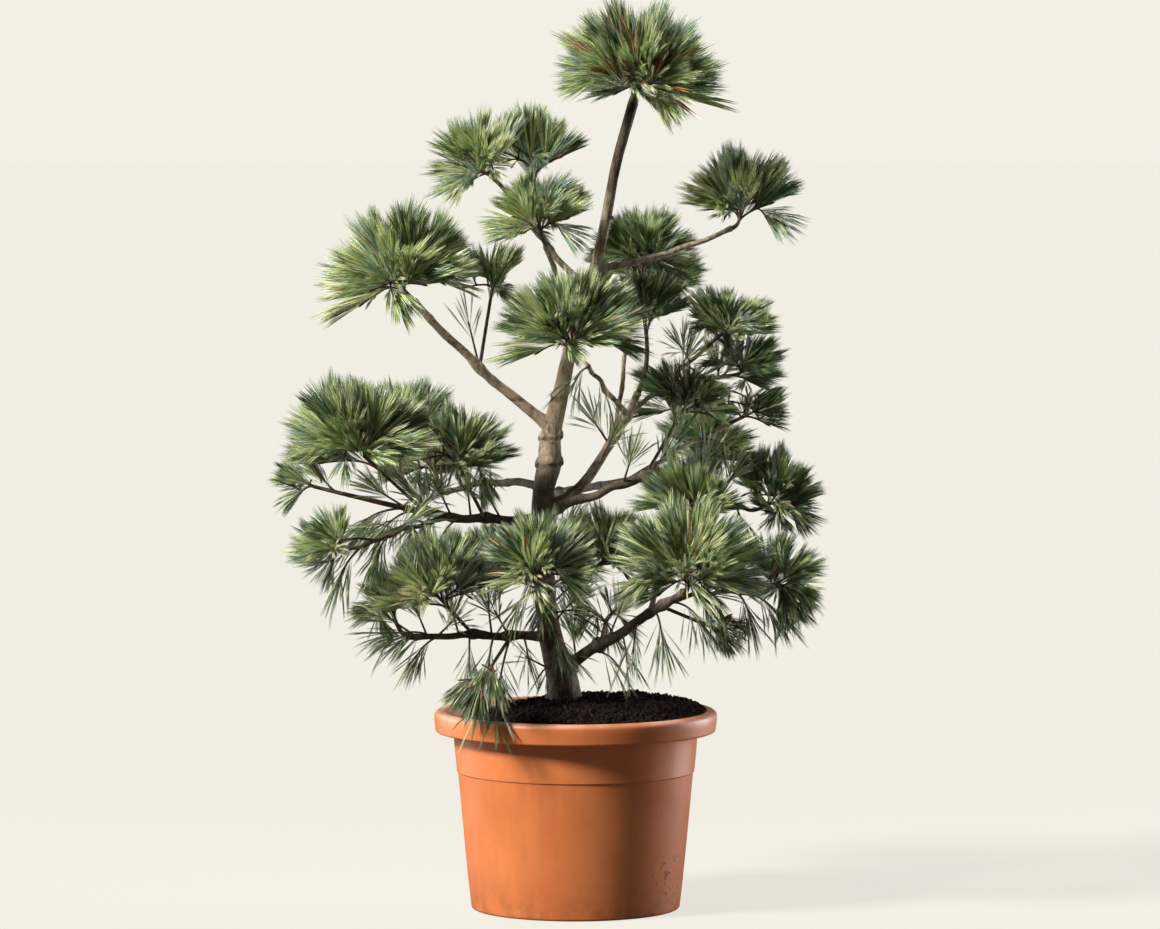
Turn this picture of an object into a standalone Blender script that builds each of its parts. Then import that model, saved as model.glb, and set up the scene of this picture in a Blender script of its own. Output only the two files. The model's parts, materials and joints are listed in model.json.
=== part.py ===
"""An eastern white pine grown as a garden bonsai, in the plastic nursery pot that it is sold in.

The tree is a bare leaning trunk with boughs that each carry a few tufts of long needles.
Everything is in metres. The origin is the middle of the pot's flat underside, +X is the
viewer's right, +Y runs away from the viewer and +Z is up.
"""

import math
from collections import namedtuple

import bmesh
import bpy
import numpy as np
from mathutils import Vector

OBJECT_NAME = "white_pine_bonsai"
SOIL_SEED = 41
SHOOT_SEED = 41
NEEDLE_SEED = 141
GAP = 0.0003
WELD_DISTANCE = 1e-6
SHARP_ANGLE = math.radians(40)

# Pot: radii and heights of its wall, band and rim.
POT_HEIGHT = 0.325
POT_FOOT_RADIUS = 0.171
POT_FOOT_ROUND = 0.005
POT_BAND_HEIGHT = 0.210
POT_BODY_TOP_RADIUS = 0.1890
POT_BAND_STEP = 0.0030
POT_NECK_HEIGHT = 0.284
POT_NECK_RADIUS = 0.1985
POT_RIM_RADIUS = 0.230
POT_RIM_DROP = 0.034
POT_RIM_ROUND = 0.010
POT_RIM_ROUND_STEPS = 3
POT_RIM_DRAFT = 0.001
POT_RIM_TUCK = 0.006
POT_NECK_FILLET = 0.004
POT_BAND_CHAMFER = 0.003
POT_MOUTH_RADIUS = 0.216
POT_MOUTH_DRAFT = 0.003
POT_MOUTH_DEPTH = 0.006
POT_WALL = 0.003
POT_SEGMENTS = 28

# Soil: a crumbly heap that is highest round the trunk.
SOIL_EDGE_HEIGHT = 0.314
SOIL_HEAP_HEIGHT = 0.336
SOIL_TOP_HEIGHT = 0.3427
SOIL_FLAT_RADIUS = 0.045
SOIL_HEAP_RADIUS = 0.125
SOIL_RINGS = 4
SOIL_LUMP = 0.0035
SOIL_LUMP_MARGIN = 0.005
SOIL_RIM_ROOM = 0.0035
SOIL_SLOPE_POWER = 1.6

# Trunk stations: height, lean to the right, lean to the back, radius.
TRUNK_STATIONS = (
    (0.3430, -0.019, 0.000, 0.0310),
    (0.3520, -0.019, 0.000, 0.0285),
    (0.3840, -0.024, 0.001, 0.0250),
    (0.4370, -0.039, 0.003, 0.0200),
    (0.4940, -0.048, 0.005, 0.0180),
    (0.5680, -0.053, 0.004, 0.0170),
    (0.6420, -0.054, 0.000, 0.0180),
    (0.6830, -0.053, -0.003, 0.0172),
    (0.7280, -0.043, -0.005, 0.0195),
    (0.7720, -0.041, -0.006, 0.0172),
    (0.8130, -0.032, -0.006, 0.0150),
    (0.8540, -0.022, -0.004, 0.0127),
    (0.9280, -0.006, 0.000, 0.0112),
    (1.0010, 0.017, 0.003, 0.0102),
    (1.0610, 0.035, 0.004, 0.0092),
    (1.1310, 0.050, 0.003, 0.0085),
    (1.2210, 0.067, 0.001, 0.0082),
    (1.3180, 0.094, 0.000, 0.0088),
)
TRUNK_SIDES = 12

# Each bough starts inside its parent at a share of the parent's length and ends at
# reach and heading (degrees, 0 right, 90 back) over the ground, and rise above its start.
# Bow lifts its middle and swing pushes it to the left of its run. Radii are in metres.
Bough = namedtuple("Bough", "name parent share reach heading rise bow swing base tip sides")
BOUGHS = (
    Bough("bough_low_right", "trunk", 0.048, 0.260, -40, 0.143, 0.004, 0.014, 0.0105, 0.0055, 7),
    Bough("bough_low_left", "trunk", 0.105, 0.240, -157, 0.008, 0.002, -0.010, 0.0075, 0.0045, 7),
    Bough("bough_low_front", "trunk", 0.170, 0.165, -94, 0.027, 0.006, 0.006, 0.0065, 0.0045, 7),
    Bough("bough_low_back", "trunk", 0.200, 0.247, 108, -0.039, 0.010, 0.008, 0.0070, 0.0045, 7),
    Bough("bough_mid_left", "trunk", 0.300, 0.229, -170, 0.021, -0.008, 0.010, 0.0085, 0.0050, 7),
    Bough("bough_high_right", "trunk", 0.308, 0.161, 14, 0.197, -0.034, 0.000, 0.0112, 0.0052, 7),
    Bough("bough_mid_right", "bough_high_right", 0.120, 0.166, 5, 0.059, -0.004, -0.006, 0.0078, 0.0050, 7),
    Bough("bough_back_left", "trunk", 0.350, 0.311, 122, -0.025, 0.014, -0.012, 0.0072, 0.0045, 7),
    Bough("bough_back_right", "trunk", 0.338, 0.366, 48, 0.017, 0.002, 0.010, 0.0072, 0.0045, 7),
    Bough("bough_left_upper", "trunk", 0.452, 0.229, -169, 0.208, -0.010, -0.008, 0.0092, 0.0055, 7),
    Bough("bough_upper_near", "trunk", 0.606, 0.075, -127, 0.148, -0.010, 0.006, 0.0050, 0.0040, 7),
    Bough("bough_back_upper", "trunk", 0.640, 0.241, 65, 0.017, 0.012, 0.010, 0.0058, 0.0042, 7),
    Bough("bough_upper_far", "trunk", 0.685, 0.130, 168, 0.150, -0.010, -0.006, 0.0058, 0.0043, 7),
    Bough("bough_upper_right", "trunk", 0.720, 0.232, 14, 0.065, -0.010, 0.006, 0.0055, 0.0040, 7),
    Bough("limb_low_right_up", "bough_low_right", 0.700, 0.061, 36, 0.125, 0.004, 0.004, 0.0042, 0.0032, 5),
    Bough("limb_low_right_far", "bough_low_right", 0.820, 0.152, 19, 0.013, 0.010, 0.006, 0.0040, 0.0032, 5),
    Bough("limb_mid_left_low", "bough_mid_left", 0.660, 0.161, -152, -0.042, 0.004, 0.004, 0.0042, 0.0030, 5),
    Bough("limb_mid_left_back", "bough_mid_left", 0.760, 0.141, 116, 0.053, -0.004, 0.004, 0.0042, 0.0032, 5),
    Bough("limb_mid_right_far", "bough_mid_right", 0.740, 0.180, -4, -0.046, 0.010, 0.006, 0.0042, 0.0032, 5),
    Bough("limb_mid_right_back", "bough_mid_right", 0.600, 0.199, 27, 0.094, 0.000, 0.010, 0.0042, 0.0032, 5),
    Bough("limb_high_right_far", "bough_high_right", 0.820, 0.141, 19, 0.114, -0.004, 0.008, 0.0040, 0.0032, 5),
    Bough("limb_high_right_back", "bough_high_right", 0.700, 0.099, 65, 0.246, -0.006, 0.008, 0.0038, 0.0030, 5),
    Bough("limb_high_right_front", "bough_high_right", 0.840, 0.157, -114, 0.088, 0.004, -0.006, 0.0042, 0.0034, 5),
)
BOUGH_STEPS = 6
LIMB_STEPS = 4

# Each mass has one stem that goes on from a share of its bough (1 is the tip) by length,
# heading and climb. From the stem's end shoots fan out round an axis that leans from
# the vertical towards the heading, out to spread degrees. Reach is where its needles end.
Mass = namedtuple("Mass", "name bough share length heading climb reach lean spread shoots")
MASSES = (
    Mass("foliage_crown", "trunk", 1.00, 0.015, 0, 74, 0.170, 4, 94, 13),
    Mass("foliage_upper_far", "bough_upper_far", 1.00, 0.052, -180, 46, 0.124, 28, 94, 7),
    Mass("foliage_upper_back", "bough_upper_far", 0.62, 0.132, 97, 50, 0.128, 6, 80, 6),
    Mass("foliage_upper_near", "bough_upper_near", 1.00, 0.027, -127, 61, 0.124, 6, 88, 7),
    Mass("foliage_upper_right", "bough_upper_right", 1.00, 0.017, 23, 42, 0.140, 6, 74, 7),
    Mass("foliage_left_upper", "bough_left_upper", 1.00, 0.023, -159, 48, 0.166, 18, 92, 11),
    Mass("foliage_left_inner", "bough_left_upper", 0.50, 0.133, 64, 70, 0.098, -22, 76, 4),
    Mass("foliage_front", "limb_high_right_front", 1.00, 0.055, -124, 38, 0.152, 8, 92, 11),
    Mass("foliage_right_inner", "bough_high_right", 1.00, 0.122, 50, 83, 0.100, 8, 80, 4),
    Mass("foliage_right_high", "limb_high_right_back", 1.00, 0.024, 63, 75, 0.120, 8, 92, 6),
    Mass("foliage_right_outer", "limb_high_right_far", 1.00, 0.027, 2, 40, 0.122, 22, 88, 7),
    Mass("foliage_right_tip", "limb_high_right_far", 0.50, 0.133, 25, 5, 0.098, 30, 100, 6),
    Mass("foliage_mid_inner", "bough_mid_right", 0.85, 0.132, 35, 54, 0.126, 10, 100, 8),
    Mass("foliage_mid_outer", "limb_mid_right_back", 1.00, 0.033, 29, 22, 0.100, 30, 96, 6),
    Mass("foliage_low_right", "bough_low_right", 1.00, 0.026, -74, 55, 0.156, 8, 106, 12),
    Mass("foliage_low_right_up", "limb_low_right_up", 1.00, 0.032, 1, 60, 0.128, 8, 96, 7),
    Mass("foliage_low_right_far", "limb_low_right_far", 1.00, 0.037, -1, 21, 0.110, 70, 100, 6),
    Mass("foliage_far_right", "limb_mid_right_far", 1.00, 0.039, 0, 10, 0.114, 40, 104, 7),
    Mass("foliage_hanging", "bough_low_right", 0.80, 0.089, 4, -23, 0.082, 100, 80, 6),
    Mass("foliage_low_centre", "trunk", 0.18, 0.119, 30, 21, 0.112, 20, 104, 7),
    Mass("foliage_low_inner", "bough_low_right", 0.30, 0.070, 81, 30, 0.086, 50, 104, 5),
    Mass("foliage_mid_left", "bough_mid_left", 0.84, 0.150, -163, 42, 0.154, 16, 106, 11),
    Mass("foliage_mid_left_back", "limb_mid_left_back", 1.00, 0.050, 76, 65, 0.130, 10, 84, 7),
    Mass("foliage_mid_left_in", "bough_mid_left", 0.42, 0.101, 173, 63, 0.118, -6, 108, 7),
    Mass("foliage_far_left", "bough_mid_left", 1.00, 0.152, 176, 13, 0.086, 50, 96, 5),
    Mass("foliage_mid_left_low", "limb_mid_left_low", 1.00, 0.030, -172, -6, 0.106, 84, 94, 6),
    Mass("foliage_low_left_tip", "bough_low_left", 1.00, 0.060, 151, 45, 0.090, 30, 94, 5),
    Mass("foliage_low_left", "bough_low_left", 0.55, 0.111, -127, 37, 0.136, 10, 104, 9),
    Mass("foliage_over_rim", "bough_low_left", 0.28, 0.185, -103, -15, 0.102, 150, 88, 6),
    Mass("foliage_low_front", "bough_low_front", 1.00, 0.026, -89, 54, 0.126, 4, 96, 8),
    Mass("foliage_low_back", "bough_low_back", 1.00, 0.034, 128, 40, 0.114, 22, 90, 6),
    Mass("foliage_back_left", "bough_back_left", 1.00, 0.040, 135, 46, 0.118, 20, 88, 6),
    Mass("foliage_back_right", "bough_back_right", 1.00, 0.036, 41, 30, 0.118, 20, 88, 6),
    Mass("foliage_back_upper", "bough_back_upper", 1.00, 0.031, 48, 30, 0.112, 18, 88, 6),
)
STEM_RADIUS = 0.0032
STEM_SIDES = 4
STEM_STEPS = 2
STEM_TAPER = 0.9
STEM_BEND = 0.4
SHOOT_BASE_RADIUS = 0.0022
SHOOT_CORE_RADIUS = 0.0046
SHOOT_TIP_RADIUS = 0.0024
SHOOT_SIDES = 3
SHOOT_SAMPLES = 12
SHOOT_BEND = 0.35
SHOOT_ROOT_STRETCH = 0.45
SHOOT_ROOT_PLACES = 3
FAN_START = 0.35
FAN_TURN_JITTER = 0.25
FAN_REFERENCE = (0.31, 0.47, 0.83)
CORE_SHARE = 0.62
CORE_SEGMENTS = 2
NEEDLE_SHARE = 0.58
NEEDLE_LENGTH_JITTER = 0.10
NEEDLE_ANGLE_TIP = 10
NEEDLE_ANGLE_MARGIN = 10
NEEDLE_ANGLE_JITTER = 5
NEEDLE_ANGLE_END = 6
NEEDLE_DROOP = 0.010
NEEDLE_ROOT_SHARE = 0.12
NEEDLE_WAIST_SHARE = 0.4
NEEDLE_ROOT_THICK = 0.0022
NEEDLE_TIP_THICK = 0.0010
NEEDLE_CLEAR = 0.0035
POT_CLEAR = 0.006
KIN_CLEAR = 0.0008
STEM = -1
SHOOT_CLEAR = 0.0050
SPACE_MARGIN = 0.002
REACH_SLACK = 0.004
TEST_POINTS = 11
SIDE_ON = 0.99
CAP_SLACK = 1e-4
GOLDEN_ANGLE = math.pi * (3.0 - math.sqrt(5.0))

COLOURS = {
    "pot": ((0.72, 0.22, 0.07, 1.0), 0.42),
    "soil": ((0.030, 0.018, 0.014, 1.0), 0.95),
    "bark": ((0.16, 0.115, 0.085, 1.0), 0.80),
    "needles": ((0.075, 0.150, 0.065, 1.0), 0.55),
}

Route = namedtuple("Route", "points radii")


def clear_scene():
    for old in list(bpy.data.objects):
        bpy.data.objects.remove(old, do_unlink=True)


def new_collection(name):
    made = bpy.data.collections.new(name)
    bpy.context.scene.collection.children.link(made)
    return made


def new_material(name, finish):
    colour, roughness = COLOURS[finish]
    made = bpy.data.materials.new(name)
    made.use_nodes = True
    shader = made.node_tree.nodes["Principled BSDF"]
    shader.inputs["Base Color"].default_value = colour
    shader.inputs["Roughness"].default_value = roughness
    shader.inputs["Metallic"].default_value = 0.0
    made.diffuse_color = colour
    return made


def direction(heading, climb):
    """The unit vector at a compass heading and an angle above the ground, in degrees."""
    turn = math.radians(heading)
    up = math.radians(climb)
    return np.array([math.cos(up) * math.cos(turn), math.cos(up) * math.sin(turn), math.sin(up)])


def bent(start, middle, end, steps):
    """Points of the quadratic curve from start to end that is drawn towards middle."""
    share = np.linspace(0.0, 1.0, steps + 1)[:, None]
    return (1 - share) ** 2 * start + 2 * share * (1 - share) * middle + share**2 * end


def trunk_route():
    """The trunk's axis and radii, from one station to the next."""
    stations = np.array(TRUNK_STATIONS)
    return Route(stations[:, [1, 2, 0]], stations[:, 3])


def at_share(route, share):
    """(point, unit direction) at a share of the route's length."""
    steps = np.linalg.norm(np.diff(route.points, axis=0), axis=1)
    along = np.concatenate([[0.0], np.cumsum(steps)]) / steps.sum()
    point = np.array([np.interp(share, along, route.points[:, axis]) for axis in range(3)])
    leg = min(int(np.searchsorted(along, share, side="left")), len(steps)) - 1
    leg = max(leg, 0)
    run = route.points[leg + 1] - route.points[leg]
    return point, run / np.linalg.norm(run)


def bough_route(bough, parent):
    start, _ = at_share(parent, bough.share)
    across = direction(bough.heading, 0)
    left = direction(bough.heading + 90, 0)
    end = start + bough.reach * across + np.array([0, 0, bough.rise])
    middle = (start + end) / 2 + 2 * bough.bow * np.array([0, 0, 1]) + 2 * bough.swing * left
    steps = BOUGH_STEPS if bough.parent == "trunk" else LIMB_STEPS
    points = bent(start, middle, end, steps)
    return Route(points, np.linspace(bough.base, bough.tip, len(points)))


def stem_route(mass, parent):
    """The mass's stem: on from its bough's tip past the gap, or out of the bough's side."""
    start, along = at_share(parent, mass.share)
    aim = direction(mass.heading, mass.climb)
    end = start + mass.length * aim
    if mass.share < 1.0:
        radii = np.linspace(STEM_RADIUS, STEM_RADIUS * STEM_TAPER, STEM_STEPS + 1)
        return Route(bent(start, (start + end) / 2, end, STEM_STEPS), radii)
    foot = start + GAP * along
    lead = foot + parent.radii[-1] * along
    middle = lead + STEM_BEND * np.linalg.norm(end - lead) * along
    radii = np.linspace(parent.radii[-1], STEM_RADIUS, STEM_STEPS + 2)
    return Route(np.vstack([foot, bent(lead, middle, end, STEM_STEPS)]), radii)


def bevel_ring(sides, collection):
    """The curve of a regular outline of unit radius, which tubes take as their section."""
    name = f"section_{sides}_sides"
    if name in bpy.data.objects:
        return bpy.data.objects[name]
    curve = bpy.data.curves.new(name, "CURVE")
    curve.dimensions = "2D"
    spline = curve.splines.new("POLY")
    spline.points.add(sides - 1)
    spline.use_cyclic_u = True
    for index, point in enumerate(spline.points):
        turn = 2 * math.pi * index / sides
        point.co = (math.cos(turn), math.sin(turn), 0.0, 1.0)
    ring = bpy.data.objects.new(name, curve)
    ring.hide_render = True
    ring.display_type = "WIRE"
    collection.objects.link(ring)
    return ring


def tube(name, route, sides, collection, guides):
    """A tapering round limb along the route, as a mesh object with its caps welded."""
    curve = bpy.data.curves.new(name, "CURVE")
    curve.dimensions = "3D"
    curve.bevel_mode = "OBJECT"
    curve.bevel_object = bevel_ring(sides, guides)
    curve.use_fill_caps = True
    spline = curve.splines.new("POLY")
    spline.points.add(len(route.points) - 1)
    for point, place, radius in zip(spline.points, route.points, route.radii):
        point.co = (*place, 1.0)
        point.radius = radius
    drawn = bpy.data.objects.new(name, curve)
    guides.objects.link(drawn)
    bpy.context.view_layer.update()
    evaluated = drawn.evaluated_get(bpy.context.evaluated_depsgraph_get())
    mesh = bpy.data.meshes.new_from_object(evaluated)
    place = drawn.matrix_world.copy()
    bpy.data.objects.remove(drawn, do_unlink=True)
    weld(mesh)
    mesh.name = name
    made = bpy.data.objects.new(name, mesh)
    made.matrix_world = place
    collection.objects.link(made)
    return made


def shade_round(piece):
    piece.data.shade_smooth()
    piece.data.set_sharp_from_angle(angle=SHARP_ANGLE)


def weld(mesh):
    work = bmesh.new()
    work.from_mesh(mesh)
    bmesh.ops.remove_doubles(work, verts=work.verts, dist=WELD_DISTANCE)
    bmesh.ops.recalc_face_normals(work, faces=work.faces)
    work.to_mesh(mesh)
    work.free()


def cutter_of(name, route, sides, guides):
    """A copy of a limb made fatter and longer by the gap, to cut what meets it."""
    points = route.points.copy()
    last = points[-1] - points[-2]
    points[-1] = points[-1] + GAP * last / np.linalg.norm(last)
    grown = Route(points, route.radii + GAP / math.cos(math.pi / sides))
    made = tube(f"cutter_{name}", grown, sides, guides, guides)
    made.hide_render = True
    made.display_type = "WIRE"
    return made


def cut(piece, cutter):
    """Cuts the piece with the cutter, so that it ends the gap away from the limb."""
    change = piece.modifiers.new("clear_of_limb", "BOOLEAN")
    change.operation = "DIFFERENCE"
    change.object = cutter
    change.solver = "EXACT"


def apply_modifiers(piece):
    bpy.context.view_layer.update()
    evaluated = piece.evaluated_get(bpy.context.evaluated_depsgraph_get())
    mesh = bpy.data.meshes.new_from_object(evaluated)
    piece.modifiers.clear()
    piece.data = mesh


def keep_largest_body(mesh):
    """Drops loose scraps and fills sealed hollows: only the largest closed skin stays."""
    work = bmesh.new()
    work.from_mesh(mesh)
    left = set(work.faces)
    skins = []
    while left:
        seed = left.pop()
        skin = {seed}
        edge = [seed]
        while edge:
            face = edge.pop()
            for side in face.edges:
                for near in side.link_faces:
                    if near in left:
                        left.remove(near)
                        skin.add(near)
                        edge.append(near)
        skins.append(skin)
    skins.sort(key=skin_volume)
    for skin in skins[:-1]:
        bmesh.ops.delete(work, geom=list(skin), context="FACES")
    work.to_mesh(mesh)
    work.free()


def skin_volume(skin):
    total = 0.0
    for face in skin:
        first = face.verts[0].co
        for one, two in zip(face.verts[1:], face.verts[2:]):
            total += first.dot(one.co.cross(two.co))
    return abs(total)


class Neighbours:
    """The limbs and needles that are already there, as thin round stretches."""

    def __init__(self):
        self.starts = np.empty((0, 3))
        self.runs = np.empty((0, 3))
        self.thick = np.empty(0)
        self.owners = np.empty(0, dtype=int)
        self.shoots = np.empty(0, dtype=int)
        self.names = {}

    def number_of(self, owner):
        return self.names.setdefault(owner, len(self.names))

    def add(self, owner, shoot, starts, ends, thick):
        starts = np.asarray(starts)
        self.starts = np.vstack([self.starts, starts])
        self.runs = np.vstack([self.runs, np.asarray(ends) - starts])
        self.thick = np.concatenate([self.thick, thick])
        self.owners = np.concatenate([self.owners, np.full(len(thick), self.number_of(owner))])
        self.shoots = np.concatenate([self.shoots, np.full(len(thick), shoot)])

    def add_route(self, owner, shoot, route):
        thick = np.maximum(route.radii[:-1], route.radii[1:])
        self.add(owner, shoot, route.points[:-1], route.points[1:], thick)

    def clear(self, owner, shoot, start, end, room, kin_room):
        """Whether a stretch keeps its room from what others own and from the mass's other shoots."""
        own = self.owners == self.number_of(owner)
        needed = np.where(own, kin_room, room) + self.thick
        tested = ~own | ((self.shoots != shoot) & (self.shoots != STEM))
        starts = self.starts[tested]
        runs = self.runs[tested]
        needed = needed[tested]
        lengths = np.maximum((runs**2).sum(axis=1), 1e-12)
        for share in np.linspace(0.0, 1.0, TEST_POINTS):
            point = start + share * (end - start)
            along = np.clip(((point - starts) * runs).sum(axis=1) / lengths, 0.0, 1.0)
            gaps = np.linalg.norm(starts + along[:, None] * runs - point, axis=1) - needed
            if gaps.size and gaps.min() < 0.0:
                return False
        return True


def in_own_space(point, mass, centres):
    """Whether the point lies in the mass's reach and on its own side of every other mass."""
    own = ((point - centres[mass.name]) ** 2).sum() - mass.reach**2
    if own > 2 * mass.reach * REACH_SLACK:
        return False
    for other in MASSES:
        if other.name == mass.name:
            continue
        theirs = ((point - centres[other.name]) ** 2).sum() - other.reach**2
        if theirs < own + SPACE_MARGIN * mass.reach:
            return False
    return True


def clear_of_pot(start, end):
    """Whether a stretch passes over the soil and the rim, or outside them, with some room."""
    for share in np.linspace(0.0, 1.0, TEST_POINTS):
        point = start + share * (end - start)
        radius = math.hypot(point[0], point[1])
        if radius < POT_MOUTH_RADIUS and point[2] < SOIL_TOP_HEIGHT + POT_CLEAR:
            return False
        if radius < POT_RIM_RADIUS + POT_CLEAR and point[2] < POT_HEIGHT + POT_CLEAR:
            return False
    return True


def fan(mass, rng):
    """Unit vectors that fill the mass's cone evenly, the first along its axis."""
    axis = direction(mass.heading, 90 - mass.lean)
    side = np.cross(axis, FAN_REFERENCE)
    side = side / np.linalg.norm(side)
    other = np.cross(axis, side)
    lowest = math.cos(math.radians(mass.spread))
    found = []
    for index in range(mass.shoots):
        share = (index + FAN_START) / mass.shoots
        height = 1.0 - share * (1.0 - lowest)
        turn = GOLDEN_ANGLE * index + rng.uniform(-FAN_TURN_JITTER, FAN_TURN_JITTER)
        flat = math.sqrt(max(0.0, 1.0 - height * height))
        found.append(height * axis + flat * (math.cos(turn) * side + math.sin(turn) * other))
    return found


def shoot_route(mass, stem, aim, number):
    """A shoot from the stem's upper stretch out to where its needles still end in reach."""
    share = 1.0 - SHOOT_ROOT_STRETCH * (number % SHOOT_ROOT_PLACES) / SHOOT_ROOT_PLACES
    start, along = at_share(stem, share)
    centre = stem.points[-1]
    end = centre + (1.0 - NEEDLE_SHARE) * mass.reach * aim
    middle = start + SHOOT_BEND * np.linalg.norm(end - start) * along
    whole = bent(start, middle, end, SHOOT_SAMPLES)
    steps = np.linalg.norm(np.diff(whole, axis=0), axis=1)
    run = np.concatenate([[0.0], np.cumsum(steps)])
    core = CORE_SHARE * run[-1]
    marks = np.concatenate([[0.0], np.linspace(run[-1] - core, run[-1], CORE_SEGMENTS + 1)])
    points = np.stack([np.interp(marks, run, whole[:, axis]) for axis in range(3)], axis=1)
    radii = np.full(len(marks), SHOOT_BASE_RADIUS)
    radii[-CORE_SEGMENTS - 1 :] = np.linspace(SHOOT_CORE_RADIUS, SHOOT_TIP_RADIUS, CORE_SEGMENTS + 1)
    return Route(points, radii)


def widest_needle_angle(mass):
    """How far, in degrees, the lowest needles lean off a shoot so that they reach its neighbour's."""
    share_of_sphere = 2 * math.pi * (1 - math.cos(math.radians(mass.spread))) / mass.shoots
    half_spacing = math.degrees(math.sqrt(share_of_sphere)) / 2
    return half_spacing + NEEDLE_ANGLE_MARGIN


def stand_needles(shoot, number, mass, route, centres, near, rng):
    """Pulls facets of the shoot's core out to needles, where the mass's space allows it."""
    work = bmesh.new()
    work.from_mesh(shoot.data)
    core = route.points[-CORE_SEGMENTS - 1 :]
    axis = core[-1] - core[0]
    length = np.linalg.norm(axis)
    axis = axis / length
    sides = []
    for face in work.faces:
        height = float(np.dot(np.array(face.calc_center_median()) - core[0], axis)) / length
        if 0.0 < height < SIDE_ON:
            sides.append(face)
    split = bmesh.ops.triangulate(work, faces=sides)["faces"]
    caps = [
        face
        for face in work.faces
        if np.dot(np.array(face.calc_center_median()) - core[-1], axis) > -CAP_SLACK
    ]
    widest = widest_needle_angle(mass)
    split.sort(key=lambda face: tuple(round(part, 5) for part in face.calc_center_median()))
    for face in split + caps[:1]:
        foot = np.array(face.calc_center_median())
        height = min(1.0, max(0.0, float(np.dot(foot - core[0], axis)) / length))
        out = foot - (core[0] + height * length * axis)
        out = out / max(np.linalg.norm(out), 1e-9)
        angle = widest + (NEEDLE_ANGLE_TIP - widest) * height
        angle += rng.uniform(-NEEDLE_ANGLE_JITTER, NEEDLE_ANGLE_JITTER)
        if face in caps:
            angle = rng.uniform(0, NEEDLE_ANGLE_END)
        turn = math.radians(angle)
        reach = NEEDLE_SHARE * mass.reach * (1.0 + rng.uniform(-NEEDLE_LENGTH_JITTER, NEEDLE_LENGTH_JITTER))
        tip = foot + reach * (math.cos(turn) * axis + math.sin(turn) * out)
        tip[2] -= NEEDLE_DROOP * np.linalg.norm((tip - foot)[:2]) / reach
        first = foot + NEEDLE_ROOT_SHARE * (tip - foot)
        if not in_own_space(tip, mass, centres) or not clear_of_pot(foot, tip):
            continue
        if not near.clear(mass.name, number, first, tip, NEEDLE_CLEAR, KIN_CLEAR):
            continue
        waist = foot + NEEDLE_WAIST_SHARE * (tip - foot)
        thick = np.array([NEEDLE_ROOT_THICK, NEEDLE_TIP_THICK])
        near.add(mass.name, number, [foot, waist], [waist, tip], thick)
        made = bmesh.ops.poke(work, faces=[face])
        made["verts"][0].co = Vector(tip)
    work.to_mesh(shoot.data)
    work.free()


def fuse(stem, shoots, name):
    """One union of the stem with all of its shoots, applied, and the shoots removed."""
    group = new_collection(f"shoots_of_{name}")
    for shoot in shoots:
        for held in list(shoot.users_collection):
            held.objects.unlink(shoot)
        group.objects.link(shoot)
    join = stem.modifiers.new("fuse_shoots", "BOOLEAN")
    join.operation = "UNION"
    join.operand_type = "COLLECTION"
    join.collection = group
    join.solver = "MANIFOLD"
    apply_modifiers(stem)
    for shoot in shoots:
        bpy.data.objects.remove(shoot, do_unlink=True)
    bpy.data.collections.remove(group)
    keep_largest_body(stem.data)


def pot_profile():
    """(radius, height) points down the outside from the mouth and up the inside."""
    rim_low = POT_HEIGHT - POT_RIM_DROP
    outer = [(POT_MOUTH_RADIUS, POT_HEIGHT)]
    for step in range(POT_RIM_ROUND_STEPS + 1):
        turn = math.pi / 2 * (1 - step / POT_RIM_ROUND_STEPS)
        outer.append(
            (
                POT_RIM_RADIUS - POT_RIM_ROUND + POT_RIM_ROUND * math.cos(turn),
                POT_HEIGHT - POT_RIM_ROUND + POT_RIM_ROUND * math.sin(turn),
            )
        )
    outer += [
        (POT_RIM_RADIUS - POT_RIM_DRAFT, rim_low + POT_RIM_TUCK),
        (POT_RIM_RADIUS - POT_RIM_TUCK, rim_low),
        (POT_NECK_RADIUS + POT_NECK_FILLET, rim_low - POT_RIM_DRAFT),
        (POT_NECK_RADIUS, POT_NECK_HEIGHT),
        (POT_BODY_TOP_RADIUS + POT_BAND_STEP, POT_BAND_HEIGHT + POT_BAND_CHAMFER),
        (POT_BODY_TOP_RADIUS, POT_BAND_HEIGHT),
        (POT_FOOT_RADIUS, POT_FOOT_ROUND),
        (POT_FOOT_RADIUS - POT_FOOT_ROUND / 3, POT_FOOT_ROUND / 3),
        (POT_FOOT_RADIUS - POT_FOOT_ROUND, 0.0),
    ]
    inner = [
        (POT_FOOT_RADIUS - POT_WALL - POT_RIM_DRAFT, POT_WALL),
        (POT_BODY_TOP_RADIUS - POT_WALL, POT_BAND_HEIGHT),
        (POT_NECK_RADIUS - POT_WALL, POT_NECK_HEIGHT),
        (POT_MOUTH_RADIUS - POT_MOUTH_DRAFT, POT_HEIGHT - POT_MOUTH_DEPTH),
    ]
    return outer, inner


def turned(name, profile, segments, collection):
    """A closed solid turned from a profile that starts and ends on the axis or closes."""
    work = bmesh.new()
    ends = [work.verts.new((radius, 0.0, height)) for radius, height in profile]
    for one, two in zip(ends, ends[1:]):
        work.edges.new((one, two))
    mesh = bpy.data.meshes.new(name)
    work.to_mesh(mesh)
    work.free()
    made = bpy.data.objects.new(name, mesh)
    collection.objects.link(made)
    spin = made.modifiers.new("turn", "SCREW")
    spin.angle = 2 * math.pi
    spin.screw_offset = 0.0
    spin.steps = segments
    spin.render_steps = segments
    spin.use_merge_vertices = True
    spin.merge_threshold = 0.0001
    return made


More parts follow.
